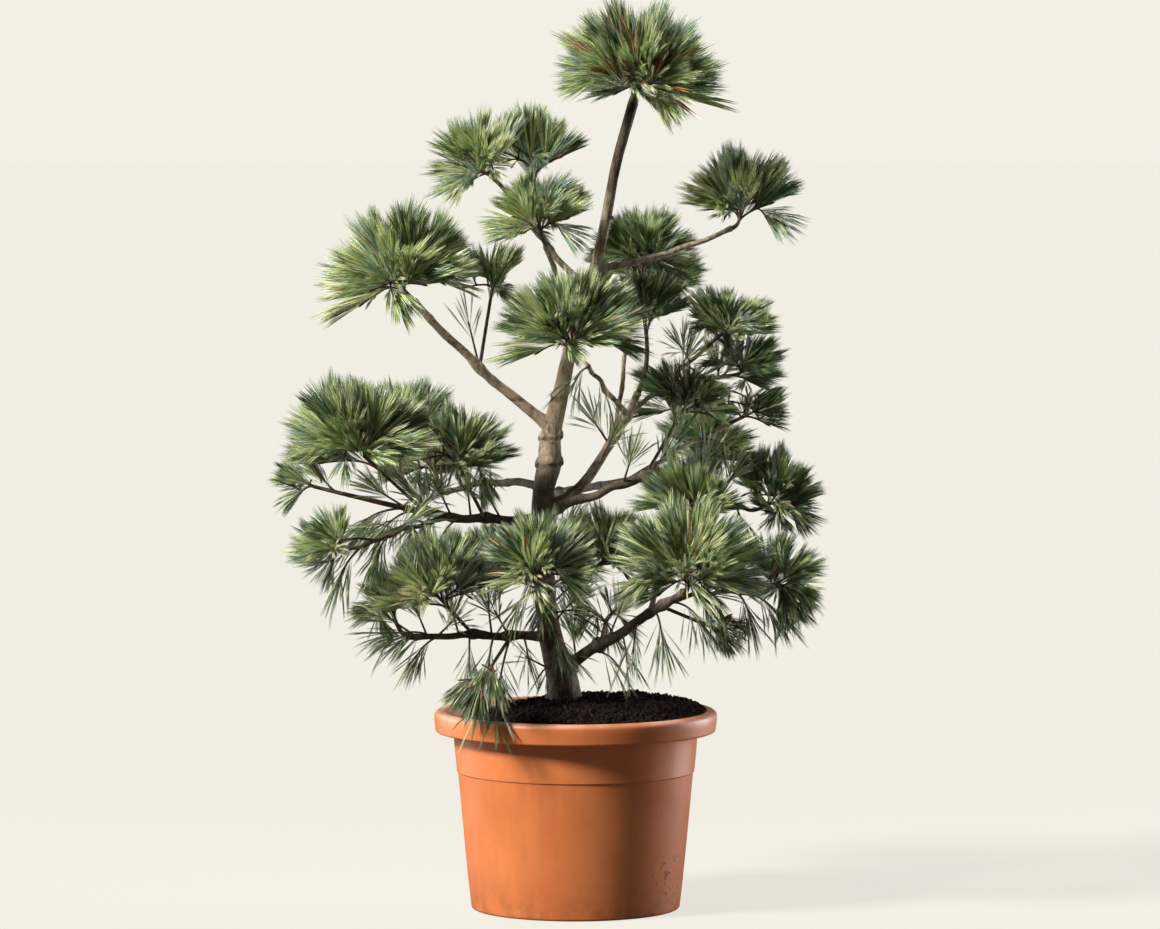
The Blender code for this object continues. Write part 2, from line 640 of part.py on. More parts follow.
def make_pot(collection):
    outer, inner = pot_profile()
    profile = outer + [(0.0, 0.0), (0.0, POT_WALL)] + inner + [outer[0]]
    pot = turned("pot", profile, POT_SEGMENTS, collection)
    apply_modifiers(pot)
    weld(pot.data)
    shade_round(pot)
    pot.data.materials.append(new_material("terracotta_plastic", "pot"))
    return pot


def soil_height(radius):
    """The heap's height over the ground at a distance from the pot's axis."""
    edge = POT_MOUTH_RADIUS - POT_WALL
    if radius <= SOIL_FLAT_RADIUS:
        return SOIL_TOP_HEIGHT
    if radius <= SOIL_HEAP_RADIUS:
        share = (radius - SOIL_FLAT_RADIUS) / (SOIL_HEAP_RADIUS - SOIL_FLAT_RADIUS)
        return SOIL_TOP_HEIGHT + share * (SOIL_HEAP_HEIGHT - SOIL_TOP_HEIGHT)
    share = (radius - SOIL_HEAP_RADIUS) / (edge - SOIL_HEAP_RADIUS)
    return SOIL_HEAP_HEIGHT + share**SOIL_SLOPE_POWER * (SOIL_EDGE_HEIGHT - SOIL_HEAP_HEIGHT)


def make_soil(collection):
    """The root ball's soil, 0.3 mm inside the pot's wall, with a lumpy top."""
    _, inner = pot_profile()
    slack = 2 * GAP
    edge = inner[-1][0] - SOIL_RIM_ROOM
    radii = np.linspace(edge, SOIL_FLAT_RADIUS, SOIL_RINGS)
    profile = [(0.0, SOIL_TOP_HEIGHT), (SOIL_FLAT_RADIUS, SOIL_TOP_HEIGHT)]
    profile += [(radius, soil_height(radius)) for radius in radii[::-1][1:]]
    profile += [(radius - slack, height) for radius, height in inner[::-1][1:-1]]
    profile += [(inner[0][0] - slack, POT_WALL + GAP), (0.0, POT_WALL + GAP)]
    soil = turned("soil", profile, POT_SEGMENTS, collection)
    apply_modifiers(soil)
    weld(soil.data)
    rng = np.random.default_rng(SOIL_SEED)
    for vertex in soil.data.vertices:
        radius = math.hypot(vertex.co.x, vertex.co.y)
        inside = SOIL_FLAT_RADIUS + SOIL_LUMP_MARGIN < radius < edge - SOIL_LUMP_MARGIN
        if inside and vertex.co.z > SOIL_EDGE_HEIGHT:
            vertex.co.z += rng.uniform(-SOIL_LUMP, SOIL_LUMP)
    soil.data.materials.append(new_material("peat_soil", "soil"))
    return soil


def make_tree(collection, guides):
    routes = {"trunk": trunk_route()}
    near = Neighbours()
    trunk = tube("trunk", routes["trunk"], TRUNK_SIDES, collection, guides)
    trunk.data.materials.append(new_material("bark_of_trunk", "bark"))
    shade_round(trunk)
    near.add_route("trunk", STEM, routes["trunk"])
    cutters = {"trunk": cutter_of("trunk", routes["trunk"], TRUNK_SIDES, guides)}
    for bough in BOUGHS:
        route = bough_route(bough, routes[bough.parent])
        routes[bough.name] = route
        made = tube(bough.name, route, bough.sides, collection, guides)
        made.data.materials.append(new_material(f"bark_of_{bough.name}", "bark"))
        shade_round(made)
        cut(made, cutters[bough.parent])
        cutters[bough.name] = cutter_of(bough.name, route, bough.sides, guides)
        near.add_route(bough.name, STEM, route)
    make_masses(collection, guides, routes, cutters, near)


def make_masses(collection, guides, routes, cutters, near):
    stems = {mass.name: stem_route(mass, routes[mass.bough]) for mass in MASSES}
    centres = {name: stem.points[-1] for name, stem in stems.items()}
    for mass in MASSES:
        near.add_route(mass.name, STEM, stems[mass.name])
    shoots = {}
    for number, mass in enumerate(MASSES):
        rng = np.random.default_rng(SHOOT_SEED + number)
        shoots[mass.name] = []
        for index, aim in enumerate(fan(mass, rng)):
            route = shoot_route(mass, stems[mass.name], aim, index)
            if not in_own_space(route.points[-1], mass, centres):
                continue
            if not near.clear(mass.name, index, route.points[1], route.points[-1], SHOOT_CLEAR, -1.0):
                continue
            near.add_route(mass.name, index, route)
            shoots[mass.name].append(route)
    for number, mass in enumerate(MASSES):
        rng = np.random.default_rng(NEEDLE_SEED + number)
        stem = tube(mass.name, stems[mass.name], STEM_SIDES, collection, guides)
        if mass.share < 1.0:
            cut(stem, cutters[mass.bough])
            apply_modifiers(stem)
        grown = []
        for index, route in enumerate(shoots[mass.name]):
            shoot = tube(f"shoot_{mass.name}_{index}", route, SHOOT_SIDES, guides, guides)
            stand_needles(shoot, index, mass, route, centres, near, rng)
            grown.append(shoot)
        fuse(stem, grown, mass.name)
        stem.data.materials.append(new_material(f"needles_of_{mass.name}", "needles"))


def main():
    clear_scene()
    collection = new_collection(OBJECT_NAME)
    guides = new_collection("cutters_and_guides")
    make_pot(collection)
    make_soil(collection)
    make_tree(collection, guides)


if __name__ == "__main__":
    main()
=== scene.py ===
"""The looks of an eastern white pine bonsai in its plastic nursery pot.

Everything is in metres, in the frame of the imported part: the origin is the middle of the
pot's underside, +X is the viewer's right, +Y runs away from the viewer and +Z is up.
The tree grows by the same rule as the part's solids, with more shoots and whole needles.
"""

import json
import math
from collections import namedtuple
from functools import lru_cache

import bpy
import numpy as np
from bpy.props import FloatProperty, FloatVectorProperty, IntProperty, PointerProperty
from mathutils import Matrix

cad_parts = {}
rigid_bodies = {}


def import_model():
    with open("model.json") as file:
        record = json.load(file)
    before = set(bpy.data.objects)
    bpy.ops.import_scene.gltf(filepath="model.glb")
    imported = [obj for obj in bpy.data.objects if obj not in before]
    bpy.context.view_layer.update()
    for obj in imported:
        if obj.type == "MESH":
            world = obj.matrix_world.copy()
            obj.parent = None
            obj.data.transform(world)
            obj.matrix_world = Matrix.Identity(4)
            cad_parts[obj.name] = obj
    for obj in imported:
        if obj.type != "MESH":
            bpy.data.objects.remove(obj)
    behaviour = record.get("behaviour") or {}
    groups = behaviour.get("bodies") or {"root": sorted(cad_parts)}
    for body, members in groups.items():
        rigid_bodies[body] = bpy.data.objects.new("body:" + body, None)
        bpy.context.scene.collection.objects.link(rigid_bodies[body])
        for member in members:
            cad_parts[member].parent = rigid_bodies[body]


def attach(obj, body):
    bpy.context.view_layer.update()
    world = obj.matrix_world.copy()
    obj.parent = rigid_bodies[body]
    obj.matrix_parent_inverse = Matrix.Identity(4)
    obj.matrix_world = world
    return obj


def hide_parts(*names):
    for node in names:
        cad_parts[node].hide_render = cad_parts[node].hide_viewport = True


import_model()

bl_info = {
    "name": "White pine bonsai",
    "version": (1, 0, 0),
    "blender": (4, 5, 0),
    "location": "3D View > Sidebar > Pine",
    "description": "Dresses a potted white pine bonsai with bark, needles, plastic and peat",
    "category": "Object",
}

SHOOT_SEED = 41
NEEDLE_SEED = 141
LIMB_SEED = 7
STREW_SEED = 23
SHARP_ANGLE = math.radians(38)
GOLDEN_ANGLE = math.pi * (3.0 - math.sqrt(5.0))

# Trunk stations: height, lean to the right, lean to the back, radius.
TRUNK_STATIONS = (
    (0.3430, -0.019, 0.000, 0.0310),
    (0.3520, -0.019, 0.000, 0.0285),
    (0.3840, -0.024, 0.001, 0.0250),
    (0.4370, -0.039, 0.003, 0.0200),
    (0.4940, -0.048, 0.005, 0.0180),
    (0.5680, -0.053, 0.004, 0.0170),
    (0.6420, -0.054, 0.000, 0.0180),
    (0.6830, -0.053, -0.003, 0.0172),
    (0.7280, -0.043, -0.005, 0.0195),
    (0.7720, -0.041, -0.006, 0.0172),
    (0.8130, -0.032, -0.006, 0.0150),
    (0.8540, -0.022, -0.004, 0.0127),
    (0.9280, -0.006, 0.000, 0.0112),
    (1.0010, 0.017, 0.003, 0.0102),
    (1.0610, 0.035, 0.004, 0.0092),
    (1.1310, 0.050, 0.003, 0.0085),
    (1.2210, 0.067, 0.001, 0.0082),
    (1.3180, 0.094, 0.000, 0.0088),
)

# Each bough starts inside its parent at a share of the parent's length and ends at
# reach and heading (degrees, 0 right, 90 back) over the ground, and rise above its start.
# Bow lifts its middle and swing pushes it to the left of its run. Radii are in metres.
Bough = namedtuple("Bough", "name parent share reach heading rise bow swing base tip sides")
BOUGHS = (
    Bough("bough_low_right", "trunk", 0.048, 0.260, -40, 0.143, 0.004, 0.014, 0.0105, 0.0055, 7),
    Bough("bough_low_left", "trunk", 0.105, 0.240, -157, 0.008, 0.002, -0.010, 0.0075, 0.0045, 7),
    Bough("bough_low_front", "trunk", 0.170, 0.165, -94, 0.027, 0.006, 0.006, 0.0065, 0.0045, 7),
    Bough("bough_low_back", "trunk", 0.200, 0.247, 108, -0.039, 0.010, 0.008, 0.0070, 0.0045, 7),
    Bough("bough_mid_left", "trunk", 0.300, 0.229, -170, 0.021, -0.008, 0.010, 0.0085, 0.0050, 7),
    Bough("bough_high_right", "trunk", 0.308, 0.161, 14, 0.197, -0.034, 0.000, 0.0112, 0.0052, 7),
    Bough("bough_mid_right", "bough_high_right", 0.120, 0.166, 5, 0.059, -0.004, -0.006, 0.0078, 0.0050, 7),
    Bough("bough_back_left", "trunk", 0.350, 0.311, 122, -0.025, 0.014, -0.012, 0.0072, 0.0045, 7),
    Bough("bough_back_right", "trunk", 0.338, 0.366, 48, 0.017, 0.002, 0.010, 0.0072, 0.0045, 7),
    Bough("bough_left_upper", "trunk", 0.452, 0.229, -169, 0.208, -0.010, -0.008, 0.0092, 0.0055, 7),
    Bough("bough_upper_near", "trunk", 0.606, 0.075, -127, 0.148, -0.010, 0.006, 0.0050, 0.0040, 7),
    Bough("bough_back_upper", "trunk", 0.640, 0.241, 65, 0.017, 0.012, 0.010, 0.0058, 0.0042, 7),
    Bough("bough_upper_far", "trunk", 0.685, 0.130, 168, 0.150, -0.010, -0.006, 0.0058, 0.0043, 7),
    Bough("bough_upper_right", "trunk", 0.720, 0.232, 14, 0.065, -0.010, 0.006, 0.0055, 0.0040, 7),
    Bough("limb_low_right_up", "bough_low_right", 0.700, 0.061, 36, 0.125, 0.004, 0.004, 0.0042, 0.0032, 5),
    Bough("limb_low_right_far", "bough_low_right", 0.820, 0.152, 19, 0.013, 0.010, 0.006, 0.0040, 0.0032, 5),
    Bough("limb_mid_left_low", "bough_mid_left", 0.660, 0.161, -152, -0.042, 0.004, 0.004, 0.0042, 0.0030, 5),
    Bough("limb_mid_left_back", "bough_mid_left", 0.760, 0.141, 116, 0.053, -0.004, 0.004, 0.0042, 0.0032, 5),
    Bough("limb_mid_right_far", "bough_mid_right", 0.740, 0.180, -4, -0.046, 0.010, 0.006, 0.0042, 0.0032, 5),
    Bough("limb_mid_right_back", "bough_mid_right", 0.600, 0.199, 27, 0.094, 0.000, 0.010, 0.0042, 0.0032, 5),
    Bough("limb_high_right_far", "bough_high_right", 0.820, 0.141, 19, 0.114, -0.004, 0.008, 0.0040, 0.0032, 5),
    Bough("limb_high_right_back", "bough_high_right", 0.700, 0.099, 65, 0.246, -0.006, 0.008, 0.0038, 0.0030, 5),
    Bough("limb_high_right_front", "bough_high_right", 0.840, 0.157, -114, 0.088, 0.004, -0.006, 0.0042, 0.0034, 5),
)

# Each mass has one stem that goes on from a share of its bough (1 is the tip) by length,
# heading and climb. From the stem's end shoots fan out round an axis that leans from
# the vertical towards the heading, out to spread degrees. Reach is where its needles end.
Mass = namedtuple("Mass", "name bough share length heading climb reach lean spread shoots")
MASSES = (
    Mass("foliage_crown", "trunk", 1.00, 0.015, 0, 74, 0.170, 4, 94, 13),
    Mass("foliage_upper_far", "bough_upper_far", 1.00, 0.052, -180, 46, 0.124, 28, 94, 7),
    Mass("foliage_upper_back", "bough_upper_far", 0.62, 0.132, 97, 50, 0.128, 6, 80, 6),
    Mass("foliage_upper_near", "bough_upper_near", 1.00, 0.027, -127, 61, 0.124, 6, 88, 7),
    Mass("foliage_upper_right", "bough_upper_right", 1.00, 0.017, 23, 42, 0.140, 6, 74, 7),
    Mass("foliage_left_upper", "bough_left_upper", 1.00, 0.023, -159, 48, 0.166, 18, 92, 11),
    Mass("foliage_left_inner", "bough_left_upper", 0.50, 0.133, 64, 70, 0.098, -22, 76, 4),
    Mass("foliage_front", "limb_high_right_front", 1.00, 0.055, -124, 38, 0.152, 8, 92, 11),
    Mass("foliage_right_inner", "bough_high_right", 1.00, 0.122, 50, 83, 0.100, 8, 80, 4),
    Mass("foliage_right_high", "limb_high_right_back", 1.00, 0.024, 63, 75, 0.120, 8, 92, 6),
    Mass("foliage_right_outer", "limb_high_right_far", 1.00, 0.027, 2, 40, 0.122, 22, 88, 7),
    Mass("foliage_right_tip", "limb_high_right_far", 0.50, 0.133, 25, 5, 0.098, 30, 100, 6),
    Mass("foliage_mid_inner", "bough_mid_right", 0.85, 0.132, 35, 54, 0.126, 10, 100, 8),
    Mass("foliage_mid_outer", "limb_mid_right_back", 1.00, 0.033, 29, 22, 0.100, 30, 96, 6),
    Mass("foliage_low_right", "bough_low_right", 1.00, 0.026, -74, 55, 0.156, 8, 106, 12),
    Mass("foliage_low_right_up", "limb_low_right_up", 1.00, 0.032, 1, 60, 0.128, 8, 96, 7),
    Mass("foliage_low_right_far", "limb_low_right_far", 1.00, 0.037, -1, 21, 0.110, 70, 100, 6),
    Mass("foliage_far_right", "limb_mid_right_far", 1.00, 0.039, 0, 10, 0.114, 40, 104, 7),
    Mass("foliage_hanging", "bough_low_right", 0.80, 0.089, 4, -23, 0.082, 100, 80, 6),
    Mass("foliage_low_centre", "trunk", 0.18, 0.119, 30, 21, 0.112, 20, 104, 7),
    Mass("foliage_low_inner", "bough_low_right", 0.30, 0.070, 81, 30, 0.086, 50, 104, 5),
    Mass("foliage_mid_left", "bough_mid_left", 0.84, 0.150, -163, 42, 0.154, 16, 106, 11),
    Mass("foliage_mid_left_back", "limb_mid_left_back", 1.00, 0.050, 76, 65, 0.130, 10, 84, 7),
    Mass("foliage_mid_left_in", "bough_mid_left", 0.42, 0.101, 173, 63, 0.118, -6, 108, 7),
    Mass("foliage_far_left", "bough_mid_left", 1.00, 0.152, 176, 13, 0.086, 50, 96, 5),
    Mass("foliage_mid_left_low", "limb_mid_left_low", 1.00, 0.030, -172, -6, 0.106, 84, 94, 6),
    Mass("foliage_low_left_tip", "bough_low_left", 1.00, 0.060, 151, 45, 0.090, 30, 94, 5),
    Mass("foliage_low_left", "bough_low_left", 0.55, 0.111, -127, 37, 0.136, 10, 104, 9),
    Mass("foliage_over_rim", "bough_low_left", 0.28, 0.185, -103, -15, 0.102, 150, 88, 6),
    Mass("foliage_low_front", "bough_low_front", 1.00, 0.026, -89, 54, 0.126, 4, 96, 8),
    Mass("foliage_low_back", "bough_low_back", 1.00, 0.034, 128, 40, 0.114, 22, 90, 6),
    Mass("foliage_back_left", "bough_back_left", 1.00, 0.040, 135, 46, 0.118, 20, 88, 6),
    Mass("foliage_back_right", "bough_back_right", 1.00, 0.036, 41, 30, 0.118, 20, 88, 6),
    Mass("foliage_back_upper", "bough_back_upper", 1.00, 0.031, 48, 30, 0.112, 18, 88, 6),
)

# The same rule as the solids', and how much finer the shoots and needles are here.
TRUNK_FOOT = 0.006
TRUNK_STEPS = 12
BOUGH_STEPS = 30
STEM_RADIUS = 0.0032
STEM_TAPER = 0.9
STEM_BEND = 0.4
STEM_STEPS = 8
SHOOT_RADIUS = 0.0023
SHOOT_TIP_RADIUS = 0.0014
SHOOT_STEPS = 8
SHOOT_BEND = 0.35
SHOOT_ROOT_STRETCH = 0.45
SHOOT_ROOT_PLACES = 3
SIDE_SHOOT_RADIUS = 0.0017
SIDE_SHOOT_ROOT = (0.30, 0.62)
SIDE_SHOOT_TURN_JITTER = 0.5
SIDE_SHOOT_LEAN_JITTER = 6
SIDE_SHOOT_REACH = (0.80, 1.04)
SPREAD_SLACK = 5
FAN_START = 0.35
FAN_TURN_JITTER = 0.25
FAN_REFERENCE = (0.31, 0.47, 0.83)
NEEDLE_SHARE = 0.58
NEEDLE_START = 0.22
NEEDLE_ANGLE_TIP = 5
NEEDLE_ANGLE_MARGIN = -2
NEEDLE_ANGLE_WIDEST = 22
NEEDLE_ANGLE_JITTER = 5
SPRAY_REACH = (0.84, 1.07)
SPRAY_FULLNESS = (0.65, 1.25)
HANGING_SHARE = (0.55, 1.2)
STRAY_TINTS = 0.50
OLD_NEEDLES = {"foliage_crown": 0.45}
NEEDLE_REACH = (0.78, 1.10)
NEEDLE_LIFT = 0.40
REACH_BY_RISE = (0.965, 0.075)
NEEDLE_LENGTH = (1.00, 1.36)
SHORTEST_NEEDLE = 0.45
SLIMNESS = (0.50, 1.02)
HANGING_SLIMNESS = 0.72
OVERLAP = 0.0016
OPEN_OVERLAP = 0.010
REACH_SLACK = 0.009
TEST_POINTS = 7
POT_CLEAR = 0.004
NEEDLE_SHOULDER = 0.70
BUD_LENGTH = 0.011
BUD_RADIUS = 0.0021
COLLAR_FLARE = 0.40
COLLAR_LENGTH = 0.012
KNUCKLE_SWELL = 0.32
KNUCKLE_WIDTH = 0.009
KNOTS = 4
KNOT_SWELL = (0.06, 0.26)
KNOT_WIDTH = 0.006
DRESSED_STEPS = 66
WANDER = 0.0022

# Stubs of pruned boughs on the trunk: height, heading, length beyond the bark, radius.
STUBS = (
    (0.392, -12, 0.006, 0.0120),
    (0.462, 200, 0.004, 0.0060),
    (0.532, -60, 0.003, 0.0065),
    (0.596, 15, 0.004, 0.0055),
    (0.727, 172, 0.0034, 0.0085),
    (0.731, 4, 0.0036, 0.0080),
    (0.733, -88, 0.0020, 0.0070),
    (0.770, 166, 0.0026, 0.0075),
    (0.775, 12, 0.0036, 0.0080),
    (0.768, -75, 0.0018, 0.0070),
    (0.840, -96, 0.0024, 0.0042),
    (0.838, 170, 0.0026, 0.0036),
    (0.930, 20, 0.0030, 0.0034),
    (1.058, 186, 0.0100, 0.0031),
    (1.128, -10, 0.0050, 0.0030),
)

# Where a patch of painted light brightens the bark most, standing for sun on the inner boughs under the masses, and how
# far round that place.
PAINTED_LIGHT_PLACE = (-0.045, -0.010, 0.820)
PAINTED_LIGHT_REACH = 0.190

# What the colour of the bark is taken down to near the top: painted shade under the crown, with the bark's own browner
# colour there.
UPPER_SHADE = (0.12, 0.095, 0.10)

# Heights of the scars round the trunk where whorls of boughs were taken off.
SCARS = (0.721, 0.765, 0.828, 0.921)

# Masses that stand together, and so share their pieces.
QUARTERS = {
    "crown": ("crown", "upper_far", "upper_back", "upper_near", "upper_right"),
    "left": ("left_upper", "left_inner", "mid_left", "mid_left_back", "mid_left_in"),
    "right": ("right_inner", "right_high", "right_outer", "right_tip", "mid_inner", "mid_outer", "front"),
    "low_right": ("low_right", "low_right_up", "low_right_far", "far_right", "hanging", "low_centre", "low_inner"),
    "low_left": ("low_left_tip", "low_left", "over_rim", "low_front", "far_left", "mid_left_low"),
    "back": ("low_back", "back_left", "back_right", "back_upper"),
}

# Open masses: their side shoots, share of the bundles, and how much these are drawn up or down.
OPEN_MASSES = {
    "foliage_over_rim": (1, 0.50, -0.62),
    "foliage_hanging": (1, 0.42, -0.50),
    "foliage_low_inner": (1, 0.40, -0.10),
    "foliage_low_left_tip": (2, 0.60, 0.10),
    "foliage_far_left": (2, 0.70, 0.15),
    "foliage_mid_left_low": (2, 0.80, 0.15),
    "foliage_left_inner": (3, 1.10, 0.10),
    "foliage_right_inner": (4, 1.20, 0.35),
    "foliage_right_high": (4, 1.10, 0.35),
    "foliage_right_tip": (2, 0.90, 0.20),
    "foliage_low_right_far": (3, 0.90, 0.00),
}

# Masses in the shade, and the share of their needles that are deep green: painted shade.
SHADED = {
    "foliage_over_rim": 0.70,
    "foliage_hanging": 0.50,
    "foliage_low_inner": 0.50,
    "foliage_low_front": 0.20,
    "foliage_right_inner": 0.30,
    "foliage_right_high": 0.20,
    "foliage_right_outer": 0.30,
    "foliage_right_tip": 0.35,
    "foliage_mid_inner": 0.35,
    "foliage_mid_outer": 0.30,
    "foliage_low_right": 0.25,
    "foliage_low_right_far": 0.40,
    "foliage_far_right": 0.35,
    "foliage_low_right_up": 0.15,
    "foliage_left_inner": 0.35,
    "foliage_mid_left_in": 0.25,
    "foliage_mid_left_back": 0.15,
    "foliage_low_centre": 0.20,
    "foliage_low_left": 0.05,
}

# Loose sprigs off the boughs: the mass they count with, where they leave their bough, length,
# heading, climb, how far their tip sags, and their bundles.
Sprig = namedtuple("Sprig", "mass bough share length heading climb sag bundles")
SPRIGS = (
    Sprig("crown", "trunk", 1.00, 0.095, 180, 80, 0.0, 11),
    Sprig("left_inner", "bough_left_upper", 0.50, 0.070, 140, 72, 0.0, 9),
    Sprig("front", "limb_high_right_front", 0.97, 0.040, -120, -5, 0.010, 14),
    Sprig("front", "limb_high_right_front", 0.80, 0.045, -60, -10, 0.020, 8),
    Sprig("over_rim", "trunk", 0.040, 0.075, -140, 25, 0.0, 7),
    Sprig("over_rim", "trunk", 0.060, 0.070, -115, 5, 0.020, 8),
    Sprig("over_rim", "bough_low_left", 0.15, 0.050, -60, 40, 0.0, 8),
    Sprig("low_inner", "bough_low_right", 0.46, 0.030, -70, -20, 0.030, 11),
    Sprig("low_inner", "bough_low_right", 0.22, 0.050, -20, 10, 0.030, 11),
    Sprig("low_inner", "bough_low_right", 0.36, 0.060, 60, 50, 0.0, 27),
    Sprig("low_inner", "bough_low_right", 0.12, 0.055, 100, 50, 0.0, 27),
    Sprig("low_right", "bough_low_right", 0.60, 0.045, -100, -12, 0.032, 12),
    Sprig("low_right", "bough_low_right", 0.74, 0.050, -75, -8, 0.040, 22),
    Sprig("low_right", "bough_low_right", 0.92, 0.060, -30, 10, 0.0, 30),
    Sprig("low_right", "limb_low_right_far", 0.25, 0.055, -80, 30, 0.0, 32),
    Sprig("hanging", "bough_low_right", 0.86, 0.060, -20, 5, 0.040, 22),
    Sprig("hanging", "limb_low_right_far", 0.45, 0.045, -40, 0, 0.035, 24),
    Sprig("low_right_far", "limb_low_right_far", 0.80, 0.050, -60, 0, 0.035, 27),
    Sprig("low_right_far", "limb_low_right_far", 0.60, 0.050, -30, 55, 0.0, 30),
    Sprig("low_right_far", "limb_low_right_far", 0.95, 0.050, -20, -10, 0.020, 30),
    Sprig("low_centre", "trunk", 0.120, 0.070, -35, 45, 0.0, 30),
    Sprig("low_centre", "trunk", 0.150, 0.075, 30, 40, 0.0, 30),
    Sprig("low_centre", "trunk", 0.200, 0.060, -20, 50, 0.0, 30),
    Sprig("low_centre", "trunk", 0.235, 0.070, 25, 45, 0.0, 30),
    Sprig("low_centre", "trunk", 0.080, 0.050, -60, 10, 0.010, 16),
    Sprig("low_centre", "trunk", 0.110, 0.060, -75, 10, 0.020, 26),
    Sprig("low_centre", "trunk", 0.140, 0.065, -40, 20, 0.010, 28),
    Sprig("low_centre", "trunk", 0.165, 0.060, -100, 20, 0.020, 28),
    Sprig("low_centre", "trunk", 0.190, 0.065, -60, 20, 0.010, 30),
    Sprig("low_centre", "trunk", 0.215, 0.060, -20, 20, 0.010, 28),
    Sprig("low_front", "bough_low_front", 0.45, 0.060, -60, 25, 0.0, 32),
    Sprig("low_front", "bough_low_front", 0.30, 0.070, -140, 20, 0.0, 32),
    Sprig("low_front", "bough_low_front", 0.75, 0.050, -150, -5, 0.020, 24),
    Sprig("low_left", "bough_low_left", 0.30, 0.055, -120, 45, 0.0, 19),
    Sprig("low_left", "bough_low_left", 0.42, 0.060, -100, 60, 0.0, 24),
    Sprig("low_left", "bough_low_left", 0.66, 0.055, -110, 55, 0.0, 24),
    Sprig("low_left", "bough_low_left", 0.82, 0.050, -60, 30, 0.0, 24),
    Sprig("over_rim", "bough_low_left", 0.28, 0.212, -105, -13, 0.055, 30),
    Sprig("over_rim", "bough_low_left", 0.28, 0.205, -97, -14, 0.060, 24),
    Sprig("over_rim", "bough_low_left", 0.20, 0.060, -80, -5, 0.030, 11),
    Sprig("over_rim", "bough_low_left", 0.40, 0.055, -100, -15, 0.030, 12),
    Sprig("over_rim", "bough_low_left", 0.58, 0.060, -90, -10, 0.030, 16),
    Sprig("low_left_tip", "bough_low_left", 0.80, 0.050, -140, -10, 0.020, 27),
    Sprig("low_left_tip", "bough_low_left", 0.95, 0.060, 170, 15, 0.010, 27),
    Sprig("low_left_tip", "bough_low_left", 0.98, 0.060, -165, 35, 0.0, 40),
    Sprig("low_left_tip", "bough_low_left", 0.90, 0.055, -115, 50, 0.0, 34),
    Sprig("low_left_tip", "bough_low_left", 0.85, 0.055, -150, 20, 0.010, 30),
    Sprig("mid_left_low", "limb_mid_left_low", 0.30, 0.050, -120, 20, 0.010, 24),
    Sprig("mid_left_low", "limb_mid_left_low", 0.50, 0.060, -70, 10, 0.020, 30),
    Sprig("mid_left_low", "limb_mid_left_low", 0.70, 0.060, -110, -10, 0.020, 30),
    Sprig("mid_left_low", "limb_mid_left_low", 0.85, 0.060, -175, 10, 0.010, 30),
    Sprig("mid_left_low", "limb_mid_left_low", 0.80, 0.060, -20, 30, 0.0, 30),
    Sprig("mid_left_low", "bough_mid_left", 0.75, 0.060, -110, 10, 0.020, 24),
    Sprig("mid_left_low", "bough_mid_left", 0.92, 0.060, -150, -5, 0.025, 30),
    Sprig("mid_left_low", "bough_mid_left", 0.98, 0.070, 165, 0, 0.020, 30),
    Sprig("mid_left_low", "bough_mid_left", 0.60, 0.060, -130, -15, 0.030, 19),
    Sprig("mid_left_low", "limb_mid_left_low", 0.98, 0.060, -140, -25, 0.030, 30),
    Sprig("mid_left_low", "limb_mid_left_low", 0.60, 0.060, 140, 20, 0.010, 30),
    Sprig("mid_left_in", "bough_mid_left", 0.30, 0.045, -130, 50, 0.0, 22),
    Sprig("mid_left_in", "bough_mid_left", 0.52, 0.050, -100, 60, 0.0, 30),
    Sprig("mid_left_in", "bough_mid_left", 0.66, 0.050, -120, 50, 0.0, 30),
    Sprig("mid_left", "bough_mid_left", 0.82, 0.045, -110, 35, 0.0, 32),
    Sprig("mid_left", "bough_mid_left", 0.90, 0.050, -60, 30, 0.0, 32),
    Sprig("mid_left", "bough_mid_left", 0.97, 0.060, -150, 30, 0.0, 32),
    Sprig("mid_left_back", "limb_mid_left_back", 0.45, 0.050, -160, 45, 0.0, 32),
    Sprig("mid_inner", "bough_high_right", 0.52, 0.045, -60, 45, 0.0, 24),
    Sprig("mid_inner", "bough_high_right", 0.62, 0.050, -140, 50, 0.0, 24),
    Sprig("mid_inner", "bough_mid_right", 0.62, 0.055, -70, 50, 0.0, 32),
    Sprig("mid_inner", "bough_mid_right", 0.90, 0.055, -60, 35, 0.0, 32),
    Sprig("mid_outer", "limb_mid_right_back", 0.55, 0.055, -80, 40, 0.0, 32),
    Sprig("mid_outer", "limb_mid_right_back", 0.75, 0.055, -60, 10, 0.010, 32),
    Sprig("mid_outer", "limb_mid_right_far", 0.45, 0.055, 10, 50, 0.0, 32),
    Sprig("far_right", "limb_mid_right_far", 0.75, 0.055, -60, 40, 0.0, 32),
    Sprig("far_right", "limb_mid_right_far", 0.90, 0.055, -80, -10, 0.020, 32),
    Sprig("right_outer", "limb_high_right_far", 0.60, 0.050, -50, 45, 0.0, 27),
    Sprig("right_outer", "limb_high_right_far", 0.80, 0.050, -110, 30, 0.0, 27),
    Sprig("right_tip", "limb_high_right_far", 0.75, 0.060, -70, -5, 0.010, 30),
    Sprig("right_tip", "limb_high_right_far", 0.45, 0.070, 20, 10, 0.0, 30),
)
SPRIG_RADIUS = 0.0021
SPRIG_LEAFY = (0.38, 0.62)
SPRIG_ANGLES = (8, 46)
SPRIG_NEEDLES = (0.052, 0.090)
SPRIG_SLIMNESS = 0.55
SPRIG_LIFT = 0.20
SPRIG_DROP = 0.35
# Share of a hanging sprig's needles that are made deep green: painted shade.
HANGING_PAINTED_SHADE = 0.8
SPRIG_SEED = 61

Route = namedtuple("Route", "points radii")
Spray = namedtuple("Spray", "mass roots aims lengths slims tints")


